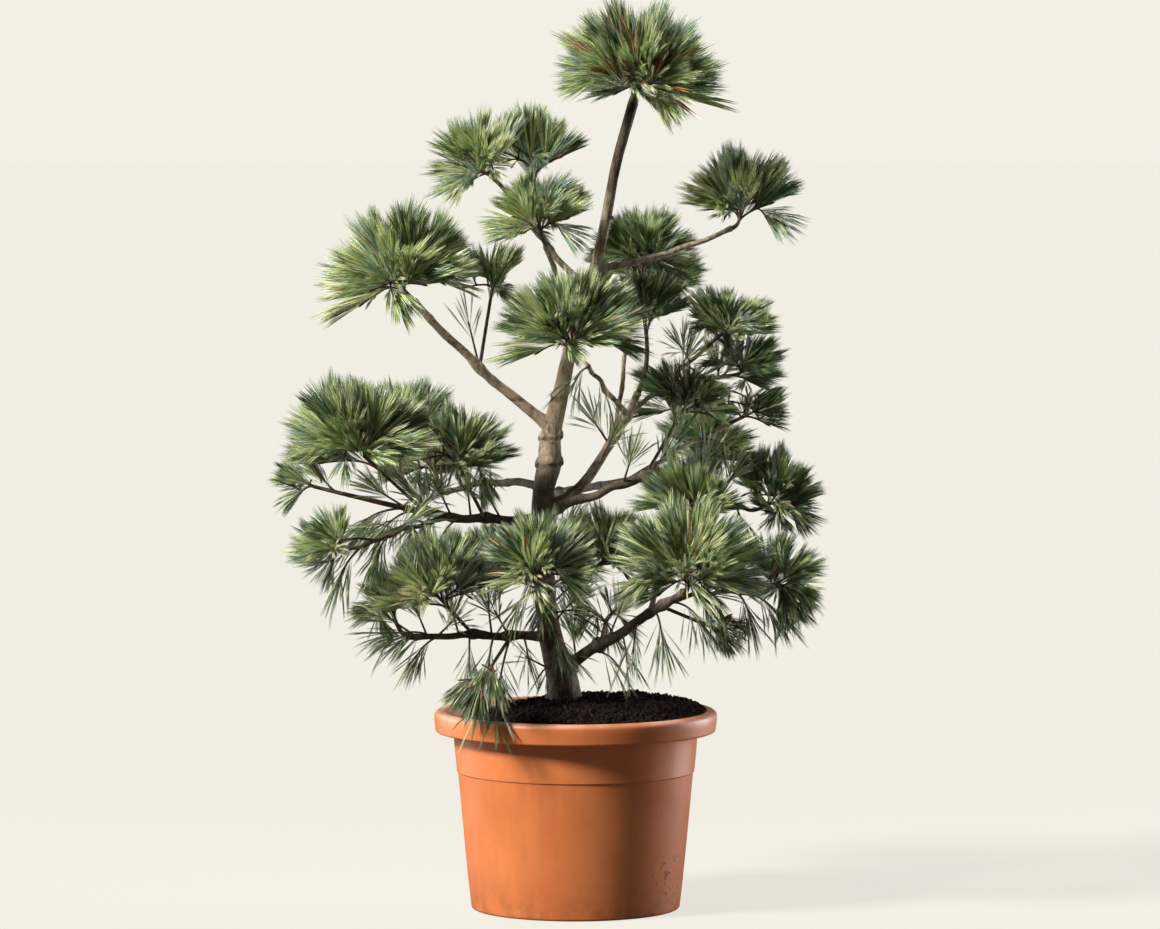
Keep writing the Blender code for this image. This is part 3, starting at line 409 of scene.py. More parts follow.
class PotSettings(bpy.types.PropertyGroup):
    plastic: FloatVectorProperty(
        name="Plastic", description="Colour of the pot", default=(0.71, 0.222, 0.072), size=3, subtype="COLOR"
    )
    shade: FloatVectorProperty(
        name="Shade", description="Colour of its darker clouds", default=(0.60, 0.168, 0.048), size=3, subtype="COLOR"
    )
    grime: FloatVectorProperty(
        name="Grime", description="Colour of the dirt on it", default=(0.075, 0.032, 0.018), size=3, subtype="COLOR"
    )
    # A painted highlight: the colour laid along the rim's upper edge, standing for light caught there.
    painted_rim_highlight: FloatVectorProperty(
        name="Painted rim highlight", description="Colour of the rim's upper edge", default=(0.93, 0.66, 0.54), size=3, subtype="COLOR"
    )
    height: FloatProperty(name="Height", description="To the top of the rim", default=0.325, unit="LENGTH")
    rim_radius: FloatProperty(name="Rim", description="Radius of the rim", default=0.2315, unit="LENGTH")
    foot_radius: FloatProperty(name="Foot", description="Radius of the foot", default=0.171, unit="LENGTH")
    segments: IntProperty(name="Segments", description="Round the pot", default=144, min=24)


class SoilSettings(bpy.types.PropertyGroup):
    dark: FloatVectorProperty(
        name="Dark peat", description="Colour in the hollows", default=(0.0024, 0.0016, 0.0014), size=3, subtype="COLOR"
    )
    light: FloatVectorProperty(
        name="Light peat", description="Colour of dry crumbs", default=(0.042, 0.026, 0.021), size=3, subtype="COLOR"
    )
    chip: FloatVectorProperty(
        name="Chips", description="Colour of bark chips", default=(0.085, 0.040, 0.020), size=3, subtype="COLOR"
    )
    straw: FloatVectorProperty(
        name="Straw", description="Colour of fallen needles", default=(0.20, 0.12, 0.050), size=3, subtype="COLOR"
    )
    lumps: FloatProperty(name="Lumps", description="How far the surface rises and falls", default=0.0055, unit="LENGTH")
    crumbs: FloatProperty(name="Crumbs", description="Crumbs on a square metre", default=19000.0)
    crumb_size: FloatProperty(name="Crumb size", description="Radius of a crumb", default=0.0062, unit="LENGTH")
    lean: FloatProperty(name="Lean", description="How much higher it is on the right", default=0.011, unit="LENGTH")


class BarkSettings(bpy.types.PropertyGroup):
    old: FloatVectorProperty(
        name="Old bark", description="Colour low on the trunk", default=(0.072, 0.052, 0.042), size=3, subtype="COLOR"
    )
    young: FloatVectorProperty(
        name="Young bark", description="Colour high on the trunk", default=(0.52, 0.42, 0.285), size=3, subtype="COLOR"
    )
    pink: FloatVectorProperty(
        name="Pink bark", description="Colour of patches on it", default=(0.62, 0.46, 0.36), size=3, subtype="COLOR"
    )
    twig: FloatVectorProperty(
        name="Twigs", description="Colour of the shoots", default=(0.115, 0.066, 0.044), size=3, subtype="COLOR"
    )
    bud: FloatVectorProperty(
        name="Buds", description="Colour of the bud scales", default=(0.24, 0.115, 0.060), size=3, subtype="COLOR"
    )
    relief: FloatProperty(name="Relief", description="Depth of the bark, as a share of the limb", default=0.12)
    trunk_sides: IntProperty(name="Trunk sides", description="Round the trunk", default=44, min=8)
    bough_sides: IntProperty(name="Bough sides", description="Round a bough", default=20, min=6)
    twig_sides: IntProperty(name="Twig sides", description="Round a twig", default=5, min=3)


class NeedleSettings(bpy.types.PropertyGroup):
    blue_green: FloatVectorProperty(
        name="Blue green", description="Needle tint", default=(0.28, 0.405, 0.35), size=3, subtype="COLOR"
    )
    deep_green: FloatVectorProperty(
        name="Deep green", description="Needle tint", default=(0.118, 0.170, 0.066), size=3, subtype="COLOR"
    )
    mid_green: FloatVectorProperty(
        name="Mid green", description="Needle tint", default=(0.375, 0.490, 0.185), size=3, subtype="COLOR"
    )
    fresh_green: FloatVectorProperty(
        name="Fresh green", description="Needle tint", default=(0.61, 0.730, 0.31), size=3, subtype="COLOR"
    )
    yellow_green: FloatVectorProperty(
        name="Yellow green", description="Needle tint", default=(0.86, 0.87, 0.52), size=3, subtype="COLOR"
    )
    straw: FloatVectorProperty(
        name="Straw", description="Tint of old needles", default=(0.62, 0.44, 0.24), size=3, subtype="COLOR"
    )
    rust: FloatVectorProperty(
        name="Rust", description="Tint of dead needles", default=(0.34, 0.115, 0.040), size=3, subtype="COLOR"
    )
    bands: FloatVectorProperty(
        name="Pale bands", description="Inner sides of the needles", default=(0.86, 0.90, 0.72), size=3, subtype="COLOR"
    )
    bundles: IntProperty(name="Bundles", description="Bundles of five needles on a shoot", default=50, min=4)
    side_shoots: IntProperty(name="Side shoots", description="Off each main shoot", default=3, min=0)
    width: FloatProperty(name="Width", description="Of a needle", default=0.0014, unit="LENGTH")
    splay: FloatProperty(name="Splay", description="Between a bundle's needles", default=math.radians(1.8), subtype="ANGLE")
    droop: FloatProperty(name="Droop", description="How far a level needle's tip sinks, as a share", default=0.11)


class StageSettings(bpy.types.PropertyGroup):
    camera_distance: FloatProperty(
        name="Camera distance", description="From the camera to the tree", default=10.0, unit="LENGTH"
    )
    camera_height: FloatProperty(name="Camera height", description="Over the ground", default=1.42, unit="LENGTH")
    camera_side: FloatProperty(
        name="Camera side", description="To the right of the pot's axis", default=0.0072, unit="LENGTH"
    )
    camera_dip: FloatProperty(
        name="Camera dip", description="Angle below level", default=math.radians(3.961), subtype="ANGLE"
    )
    lens: FloatProperty(name="Lens", description="Focal length on a 36 mm sensor, in mm", default=190.6)
    paper: FloatVectorProperty(
        name="Paper", description="Colour of floor and backdrop", default=(0.87, 0.85, 0.77), size=3, subtype="COLOR"
    )
    key_heading: FloatProperty(
        name="Key heading", description="Where the light comes from, left of the camera",
        default=math.radians(60), subtype="ANGLE",
    )
    key_height: FloatProperty(
        name="Key height", description="Angle of the light above level", default=math.radians(36), subtype="ANGLE"
    )
    key_strength: FloatProperty(name="Key strength", description="Light of the lamp", default=5.5)
    sky_strength: FloatProperty(name="Sky strength", description="Light from all round", default=0.11)
    left_strip: FloatProperty(name="Left strip", description="Power of the tall light behind on the left", default=8.5)
    right_strip: FloatProperty(name="Right strip", description="Power of the one on the right", default=17.5)
    floor_glow: FloatProperty(name="Floor glow", description="Light of the floor itself", default=0.85)


def wired(tree, kind, inputs=None, **settings):
    """A node of that kind, with its settings made and each input given a value or a link."""
    made = tree.nodes.new(kind)
    for name, value in settings.items():
        setattr(made, name, value)
    for name, value in (inputs or {}).items():
        if isinstance(value, bpy.types.NodeSocket):
            tree.links.new(value, made.inputs[name])
        else:
            made.inputs[name].default_value = value
    return made


def ramp(tree, factor, stops):
    """A colour ramp's output, whose stops are (place, colour)."""
    made = wired(tree, "ShaderNodeValToRGB", {"Fac": factor})
    scale = made.color_ramp
    while len(scale.elements) < len(stops):
        scale.elements.new(1.0)
    for element, (place, colour) in zip(scale.elements, stops):
        element.position = place
        element.color = (*colour, 1.0)
    return made.outputs["Color"]


def mixed(tree, factor, one, two, blend="MIX"):
    """The colour between two colours or sockets."""
    made = wired(tree, "ShaderNodeMix", data_type="RGBA", blend_type=blend)
    for index, value in ((0, factor), (6, one), (7, two)):
        if isinstance(value, bpy.types.NodeSocket):
            tree.links.new(value, made.inputs[index])
        elif index == 0:
            made.inputs[index].default_value = value
        else:
            made.inputs[index].default_value = (*value, 1.0)
    return made.outputs[2]


def noise(tree, place, scale, detail=4.0, roughness=0.55, stretch=(1.0, 1.0, 1.0)):
    """Noise between 0 and 1 at a place that may be stretched along an axis."""
    moved = wired(tree, "ShaderNodeVectorMath", {0: place, 1: stretch}, operation="MULTIPLY")
    made = wired(
        tree,
        "ShaderNodeTexNoise",
        {"Vector": moved.outputs[0], "Scale": scale, "Detail": detail, "Roughness": roughness},
    )
    return made.outputs["Fac"]


def span(tree, value, low, high, start=0.0, end=1.0):
    """The value, moved from one range to another and held inside it."""
    made = wired(
        tree,
        "ShaderNodeMapRange",
        {"Value": value, "From Min": low, "From Max": high, "To Min": start, "To Max": end},
    )
    return made.outputs["Result"]


def math_of(tree, operation, one, two):
    return wired(tree, "ShaderNodeMath", {0: one, 1: two}, operation=operation).outputs[0]


def new_finish(name):
    """(material, its tree, its shader, the object's own coordinates)"""
    made = bpy.data.materials.new(name)
    made.use_nodes = True
    tree = made.node_tree
    place = wired(tree, "ShaderNodeTexCoord").outputs["Object"]
    return made, tree, tree.nodes["Principled BSDF"], place


def relief(tree, shader, height, strength, distance):
    made = wired(tree, "ShaderNodeBump", {"Height": height, "Strength": strength, "Distance": distance})
    tree.links.new(made.outputs["Normal"], shader.inputs["Normal"])


def direction(heading, climb):
    """The unit vector at a compass heading and an angle above the ground, in degrees."""
    turn = math.radians(heading)
    up = math.radians(climb)
    return np.array([math.cos(up) * math.cos(turn), math.cos(up) * math.sin(turn), math.sin(up)])


def bent(start, middle, end, steps):
    """Points of the quadratic curve from start to end that is drawn towards middle."""
    share = np.linspace(0.0, 1.0, steps + 1)[:, None]
    return (1 - share) ** 2 * start + 2 * share * (1 - share) * middle + share**2 * end


def shares_of(points):
    """Each point's share of the route's length."""
    steps = np.linalg.norm(np.diff(points, axis=0), axis=1)
    return np.concatenate([[0.0], np.cumsum(steps)]) / steps.sum()


def at_shares(points, shares):
    """(points, unit directions) at shares of the route's length."""
    along = shares_of(points)
    found = np.stack([np.interp(shares, along, points[:, axis]) for axis in range(3)], axis=-1)
    leg = np.clip(np.searchsorted(along, shares, side="left"), 1, len(points) - 1)
    runs = points[leg] - points[leg - 1]
    return found, runs / np.linalg.norm(runs, axis=-1, keepdims=True)


def square_to(aim):
    """Two unit vectors square to the aim and to each other."""
    side = np.cross(aim, FAN_REFERENCE)
    side = side / np.linalg.norm(side)
    return side, np.cross(aim, side)


def smoothed(points, radii, steps):
    """A smooth route through the stations, with steps on each leg."""
    stations = np.column_stack([points, radii])
    ends = np.vstack([2 * stations[0] - stations[1], stations, 2 * stations[-1] - stations[-2]])
    share = np.linspace(0.0, 1.0, steps, endpoint=False)[:, None]
    runs = []
    for before, one, two, after in zip(ends, ends[1:], ends[2:], ends[3:]):
        runs.append(
            0.5
            * (
                2 * one
                + (two - before) * share
                + (2 * before - 5 * one + 4 * two - after) * share**2
                + (3 * one - before - 3 * two + after) * share**3
            )
        )
    whole = np.vstack(runs + [stations[-1:]])
    return Route(whole[:, :3], whole[:, 3])


def plain_limbs():
    """The trunk's and the boughs' axes as the solids have them, by name."""
    stations = np.array(TRUNK_STATIONS)
    routes = {"trunk": Route(stations[:, [1, 2, 0]], stations[:, 3])}
    for bough in BOUGHS:
        start, _ = at_shares(routes[bough.parent].points, np.array([bough.share]))
        end = start[0] + bough.reach * direction(bough.heading, 0) + np.array([0, 0, bough.rise])
        middle = (start[0] + end) / 2 + 2 * bough.bow * np.array([0, 0, 1])
        middle = middle + 2 * bough.swing * direction(bough.heading + 90, 0)
        points = bent(start[0], middle, end, BOUGH_STEPS)
        routes[bough.name] = Route(points, np.linspace(bough.base, bough.tip, len(points)))
    return routes


def dressed(route, name, parent, rng):
    """A bough's route with a collar at its foot, knuckles at its forks and a slight wander."""
    forks = [bough.share for bough in BOUGHS if bough.parent == name]
    forks += [mass.share for mass in MASSES if mass.bough == name]
    shares = np.linspace(0.0, 1.0, DRESSED_STEPS + 1)
    points, _ = at_shares(route.points, shares)
    length = np.linalg.norm(np.diff(route.points, axis=0), axis=1).sum()
    run = shares * length
    thick = float(np.interp(0.5, shares_of(parent.points), parent.radii))
    radii = np.interp(shares, shares_of(route.points), route.radii)
    radii = radii * (1 + COLLAR_FLARE * np.exp(-np.maximum(0.0, run - thick) / COLLAR_LENGTH))
    for fork in forks:
        radii = radii * (1 + KNUCKLE_SWELL * np.exp(-(((run - fork * length) / KNUCKLE_WIDTH) ** 2)))
    for knot in rng.uniform(0.1, 0.95, KNOTS):
        swell = rng.uniform(*KNOT_SWELL)
        radii = radii * (1 + swell * np.exp(-(((run - knot * length) / KNOT_WIDTH) ** 2)))
    side, other = square_to((route.points[-1] - route.points[0]) / length)
    envelope = np.sin(math.pi * shares) * WANDER
    for across in (side, other):
        for waves in (2, 3):
            wave = np.sin(2 * math.pi * (waves * shares + rng.uniform()))
            points = points + (envelope * wave / waves * 1.4)[:, None] * across
    return Route(points, radii)


def stem_route(mass, parent):
    """The mass's stem: on from its bough's tip, or out of the bough's side."""
    found, along = at_shares(parent.points, np.array([mass.share]))
    start = found[0]
    end = start + mass.length * direction(mass.heading, mass.climb)
    if mass.share < 1.0:
        points = bent(start, (start + end) / 2, end, STEM_STEPS)
        return Route(points, np.linspace(STEM_RADIUS, STEM_RADIUS * STEM_TAPER, len(points)))
    lead = start + parent.radii[-1] * along[0]
    middle = lead + STEM_BEND * np.linalg.norm(end - lead) * along[0]
    points = np.vstack([start, bent(lead, middle, end, STEM_STEPS)])
    return Route(points, np.linspace(parent.radii[-1], STEM_RADIUS, len(points)))


def fan(mass, rng):
    """Unit vectors that fill the mass's cone evenly, the first along its axis."""
    axis = direction(mass.heading, 90 - mass.lean)
    side, other = square_to(axis)
    lowest = math.cos(math.radians(mass.spread))
    found = []
    for index in range(mass.shoots):
        height = 1.0 - (index + FAN_START) / mass.shoots * (1.0 - lowest)
        turn = GOLDEN_ANGLE * index + rng.uniform(-FAN_TURN_JITTER, FAN_TURN_JITTER)
        flat = math.sqrt(max(0.0, 1.0 - height * height))
        found.append(height * axis + flat * (math.cos(turn) * side + math.sin(turn) * other))
    return found


def half_spacing(mass):
    """Half the angle between neighbouring shoots of the mass, in degrees."""
    share_of_sphere = 2 * math.pi * (1 - math.cos(math.radians(mass.spread))) / mass.shoots
    return math.degrees(math.sqrt(share_of_sphere)) / 2


def shoot_between(start, along, end, base, tip):
    middle = start + SHOOT_BEND * np.linalg.norm(end - start) * along
    points = bent(start, middle, end, SHOOT_STEPS)
    return Route(points, np.linspace(base, tip, len(points)))


def shoots_of(mass, stem, side_shoots, rng):
    """The mass's main shoots, as in the solids, and the side shoots that leave them."""
    centre = stem.points[-1]
    axis = direction(mass.heading, 90 - mass.lean)
    lowest = math.cos(math.radians(mass.spread + SPREAD_SLACK))
    found = []
    for number, aim in enumerate(fan(mass, rng)):
        share = 1.0 - SHOOT_ROOT_STRETCH * (number % SHOOT_ROOT_PLACES) / SHOOT_ROOT_PLACES
        start, along = at_shares(stem.points, np.array([share]))
        end = centre + (1.0 - NEEDLE_SHARE) * mass.reach * aim
        main = shoot_between(start[0], along[0], end, SHOOT_RADIUS, SHOOT_TIP_RADIUS)
        found.append(main)
        side, other = square_to(aim)
        for twin in range(side_shoots):
            turn = 2 * math.pi * twin / side_shoots + rng.uniform(-1, 1) * SIDE_SHOOT_TURN_JITTER
            lean = math.radians(half_spacing(mass) + rng.uniform(-1, 1) * SIDE_SHOOT_LEAN_JITTER)
            off = math.cos(turn) * side + math.sin(turn) * other
            new_aim = math.cos(lean) * aim + math.sin(lean) * off
            root, way = at_shares(main.points, np.array([rng.uniform(*SIDE_SHOOT_ROOT)]))
            reach = (1.0 - NEEDLE_SHARE) * mass.reach * rng.uniform(*SIDE_SHOOT_REACH)
            if float(np.dot(new_aim, axis)) >= lowest:
                end = centre + reach * new_aim
                found.append(shoot_between(root[0], way[0], end, SIDE_SHOOT_RADIUS, SHOOT_TIP_RADIUS))
    return found


def in_own_space(points, number, centres):
    """Which points lie in the mass's reach and hardly past its neighbours' sides."""
    overlap = OPEN_OVERLAP if MASSES[number].name in OPEN_MASSES else OVERLAP
    reaches = np.array([mass.reach for mass in MASSES])
    powers = ((points[:, None, :] - centres[None, :, :]) ** 2).sum(axis=2) - reaches**2
    own = powers[:, number]
    nearest = np.delete(powers, number, axis=1).min(axis=1)
    return (own < REACH_SLACK) & (own < nearest + overlap)


def clear_of_pot(starts, ends, pot):
    """Which stretches pass over the soil and the rim, or outside them."""
    clear = np.ones(len(starts), dtype=bool)
    for share in np.linspace(0.0, 1.0, TEST_POINTS):
        points = starts + share * (ends - starts)
        radius = np.hypot(points[:, 0], points[:, 1])
        inside = (radius < pot.rim_radius) & (points[:, 2] < pot.height + SOIL_RISE)
        over_rim = (radius < pot.rim_radius + POT_CLEAR) & (points[:, 2] < pot.height + POT_CLEAR)
        clear &= ~(inside | over_rim)
    return clear


def spray_of(number, mass, shoot, centres, rng):
    """The bundles of needles on one shoot, as roots, aims, lengths, widths and tints."""
    scene = bpy.context.scene
    # Painted light and shade: sprays facing SUNNY_SIDE draw lighter tints and the rest darker ones.
    out = shoot.points[-1] - centres[number]
    sunny = 0.5 + 0.5 * float(np.dot(out, SUNNY_SIDE)) / np.linalg.norm(out)
    weights = sunny * np.array(SUN_TINTS) + (1.0 - sunny) * np.array(SHADE_TINTS)
    needles = scene.pine_needles
    _, share, lift = OPEN_MASSES.get(mass.name, (0, 1.0, NEEDLE_LIFT))
    aim = shoot.points[-1] - shoot.points[-2]
    rise = float(aim[2] / np.linalg.norm(aim))
    if mass.name not in OPEN_MASSES:
        share *= min(1.0, max(HANGING_SHARE[0], 1.0 + HANGING_SHARE[1] * rise))
    count = round(share * needles.bundles * rng.uniform(*SPRAY_FULLNESS))
    place = np.linspace(0.0, 1.0, count) ** 0.8
    roots, along = at_shares(shoot.points, NEEDLE_START + (1 - NEEDLE_START) * place)
    side, other = square_to(along[-1])
    turn = GOLDEN_ANGLE * np.arange(count) + rng.uniform(0, 2 * math.pi)
    widest = min(NEEDLE_ANGLE_WIDEST, half_spacing(mass) + NEEDLE_ANGLE_MARGIN)
    angle = widest + (NEEDLE_ANGLE_TIP - widest) * place + rng.uniform(-1, 1, count) * NEEDLE_ANGLE_JITTER
    angle = np.radians(angle)[:, None]
    off = np.cos(turn)[:, None] * side + np.sin(turn)[:, None] * other
    aims = np.cos(angle) * along + np.sin(angle) * off
    aims[:, 2] += lift
    aims = aims / np.linalg.norm(aims, axis=1, keepdims=True)
    lengths = NEEDLE_SHARE * mass.reach * rng.uniform(*NEEDLE_LENGTH, count)
    centre = centres[number]
    limit = mass.reach * rng.uniform(*SPRAY_REACH) * rng.uniform(*NEEDLE_REACH, count)
    limit = limit * (REACH_BY_RISE[0] + REACH_BY_RISE[1] * aims[:, 2])
    inward = ((roots - centre) * aims).sum(axis=1)
    depth = ((roots - centre) ** 2).sum(axis=1) - limit**2
    to_edge = np.sqrt(np.maximum(0.0, inward**2 - depth)) - inward
    fitted = np.minimum(lengths, to_edge)
    keep = fitted > SHORTEST_NEEDLE * lengths
    tips = roots + fitted[:, None] * aims
    keep &= in_own_space(tips, number, centres)
    keep &= clear_of_pot(roots, tips, scene.pine_pot)
    tints = np.full(count, rng.choice(len(TINTS), p=weights))
    strays = rng.uniform(size=count) < STRAY_TINTS
    tints[strays] = rng.choice(len(TINTS), strays.sum(), p=weights)
    # Painted shade: in shaded masses a share of the needles is made deep green.
    tints[rng.uniform(size=count) < SHADED.get(mass.name, 0.0)] = DEEP_GREEN
    old = OLD_NEEDLES.get(mass.name, 0.03)
    tints[(place < 0.26) & (rng.uniform(size=count) < old)] = RUST
    slims = rng.uniform(*SLIMNESS, count) * (HANGING_SLIMNESS if lift < 0.0 else 1.0)
    return Spray(mass.name, roots[keep], aims[keep], fitted[keep], slims[keep], tints[keep])


def sprig_route(sprig, limbs):
    """A thin twig out of the bough's side, whose tip sags."""
    found, _ = at_shares(limbs[sprig.bough].points, np.array([sprig.share]))
    out = direction(sprig.heading, sprig.climb)
    end = found[0] + sprig.length * out - np.array([0.0, 0.0, sprig.sag])
    points = bent(found[0], found[0] + 0.6 * sprig.length * out, end, SHOOT_STEPS)
    return Route(points, np.linspace(SPRIG_RADIUS, SHOOT_TIP_RADIUS, len(points)))


def sprig_spray(sprig, route, pot, rng):
    """The few bundles at a sprig's end, which hang where its tip sags."""
    hangs = sprig.sag > 0.0
    place = np.linspace(1.0 - SPRIG_LEAFY[hangs], 1.0, sprig.bundles)
    roots, along = at_shares(route.points, place)
    side, other = square_to(along[-1])
    turn = (GOLDEN_ANGLE * np.arange(sprig.bundles) + rng.uniform(0, 2 * math.pi))[:, None]
    angle = np.radians(rng.uniform(*SPRIG_ANGLES, sprig.bundles))[:, None]
    aims = np.cos(angle) * along[-1] + np.sin(angle) * (np.cos(turn) * side + np.sin(turn) * other)
    aims[:, 2] += -SPRIG_DROP if hangs else SPRIG_LIFT
    aims = aims / np.linalg.norm(aims, axis=1, keepdims=True)
    lengths = rng.uniform(*SPRIG_NEEDLES, sprig.bundles)
    tints = rng.choice(len(TINTS), sprig.bundles, p=TINT_WEIGHTS)
    # Painted shade: most needles on hanging sprigs are made deep green.
    tints[rng.uniform(size=sprig.bundles) < (HANGING_PAINTED_SHADE if hangs else 0.0)] = DEEP_GREEN
    keep = clear_of_pot(roots, roots + lengths[:, None] * aims, pot)
    slims = np.full(sprig.bundles, SPRIG_SLIMNESS)
    return Spray(f"foliage_{sprig.mass}", roots[keep], aims[keep], lengths[keep], slims[keep], tints[keep])


TINTS = ("blue_green", "deep_green", "mid_green", "fresh_green", "yellow_green", "straw", "rust")
TINT_WEIGHTS = (0.17, 0.19, 0.29, 0.23, 0.10, 0.02, 0.0)
# Tint weights for sprays that face SUNNY_SIDE and for those that face away: painted light and shade, lighter towards
# the front and darker behind.
SUN_TINTS = (0.11, 0.12, 0.32, 0.29, 0.13, 0.03, 0.0)
SHADE_TINTS = (0.34, 0.42, 0.21, 0.03, 0.0, 0.0, 0.0)
SUNNY_SIDE = np.array([-0.30, -0.90, -0.30])
RUST = TINTS.index("rust")
DEEP_GREEN = TINTS.index("deep_green")
SOIL_RISE = 0.020


@lru_cache(maxsize=1)
def growth():
    """(limbs, stems, shoots, sprays): the whole tree, each by the name of its node."""
    needles = bpy.context.scene.pine_needles
    limbs = plain_limbs()
    stems = {mass.name: stem_route(mass, limbs[mass.bough]) for mass in MASSES}
    centres = np.array([stem.points[-1] for stem in stems.values()])
    shoots = {}
    sprays = {}
    for number, mass in enumerate(MASSES):
        rng = np.random.default_rng(SHOOT_SEED + number)
        side_shoots = OPEN_MASSES.get(mass.name, (needles.side_shoots,))[0]
        grown = shoots_of(mass, stems[mass.name], side_shoots, rng)
        tips = np.array([shoot.points[-1] for shoot in grown])
        inside = in_own_space(tips, number, centres)
        shoots[mass.name] = [shoot for shoot, kept in zip(grown, inside) if kept]
        rng = np.random.default_rng(NEEDLE_SEED + number)
        sprays[mass.name] = [
            spray_of(number, mass, shoot, centres, rng)
            for shoot in shoots[mass.name]
        ]
    rng = np.random.default_rng(SPRIG_SEED)
    for sprig in SPRIGS:
        route = sprig_route(sprig, limbs)
        shoots[f"foliage_{sprig.mass}"].append(route)
        spray = sprig_spray(sprig, route, bpy.context.scene.pine_pot, rng)
        sprays[f"foliage_{sprig.mass}"].append(spray)
    return limbs, stems, shoots, sprays


def curve_of(name, routes):
    """One curve object with a spline for each route."""
    curve = bpy.data.curves.new(name, "CURVE")
    curve.dimensions = "3D"
    for route in routes:
        spline = curve.splines.new("POLY")
        spline.points.add(len(route.points) - 1)
        for point, place, radius in zip(spline.points, route.points, route.radii):
            point.co = (*place, 1.0)
            point.radius = radius
    made = bpy.data.objects.new(name, curve)
    bpy.context.scene.collection.objects.link(made)
    return made


def new_node_group(name, sockets):
    """A Geometry Nodes tree with a geometry in and out and the named inputs."""
    tree = bpy.data.node_groups.new(name, "GeometryNodeTree")
    tree.interface.new_socket(name="Geometry", in_out="INPUT", socket_type="NodeSocketGeometry")
    tree.interface.new_socket(name="Geometry", in_out="OUTPUT", socket_type="NodeSocketGeometry")
    for label, kind in sockets:
        tree.interface.new_socket(name=label, in_out="INPUT", socket_type=f"NodeSocket{kind}")
    given = tree.nodes.new("NodeGroupInput")
    return tree, given.outputs, tree.nodes.new("NodeGroupOutput").inputs


def limb_nodes():
    """Round limbs along curves, with a bark relief that is a share of the limb's own radius."""
    tree, given, result = new_node_group(
        "limbs", (("Sides", "Int"), ("Relief", "Float"), ("Grain", "Float"), ("Material", "Material"))
    )
    girth = wired(tree, "GeometryNodeInputRadius").outputs[0]
    kept = wired(
        tree,
        "GeometryNodeStoreNamedAttribute",
        {"Geometry": given["Geometry"], "Name": "girth", "Value": girth},
        domain="POINT",
    )
    ring = wired(tree, "GeometryNodeCurvePrimitiveCircle", {"Resolution": given["Sides"], "Radius": 1.0})
    swept = wired(
        tree,
        "GeometryNodeCurveToMesh",
        {"Curve": kept.outputs[0], "Profile Curve": ring.outputs[0], "Fill Caps": True},
    )
    if SWEEP_TAKES_SCALE:
        tree.links.new(girth, swept.inputs["Scale"])
    place = wired(tree, "GeometryNodeInputPosition").outputs[0]
    along = noise(tree, place, given["Grain"], 5.0, 0.6, (1.0, 1.0, 0.34))
    coarse = noise(tree, place, math_of(tree, "MULTIPLY", given["Grain"], 0.28), 2.0)
    both = math_of(tree, "ADD", along, coarse)
    height = math_of(tree, "SUBTRACT", both, 1.0)
    thick = wired(tree, "GeometryNodeInputNamedAttribute", {"Name": "girth"}).outputs[0]
    amount = math_of(tree, "MULTIPLY", math_of(tree, "MULTIPLY", height, thick), given["Relief"])
    normal = wired(tree, "GeometryNodeInputNormal").outputs[0]
    offset = wired(tree, "ShaderNodeVectorMath", {0: normal}, operation="SCALE")
    tree.links.new(amount, offset.inputs["Scale"])
    rough = wired(tree, "GeometryNodeSetPosition", {"Geometry": swept.outputs[0], "Offset": offset.outputs[0]})
    smooth = wired(tree, "GeometryNodeSetShadeSmooth", {"Geometry": rough.outputs[0]})
    whole = wired(tree, "GeometryNodeRealizeInstances", {"Geometry": smooth.outputs[0]})
    done = wired(
        tree, "GeometryNodeSetMaterial", {"Geometry": whole.outputs[0], "Material": given["Material"]}
    )
    tree.links.new(done.outputs[0], result["Geometry"])
    return tree


SWEEP_TAKES_SCALE = True


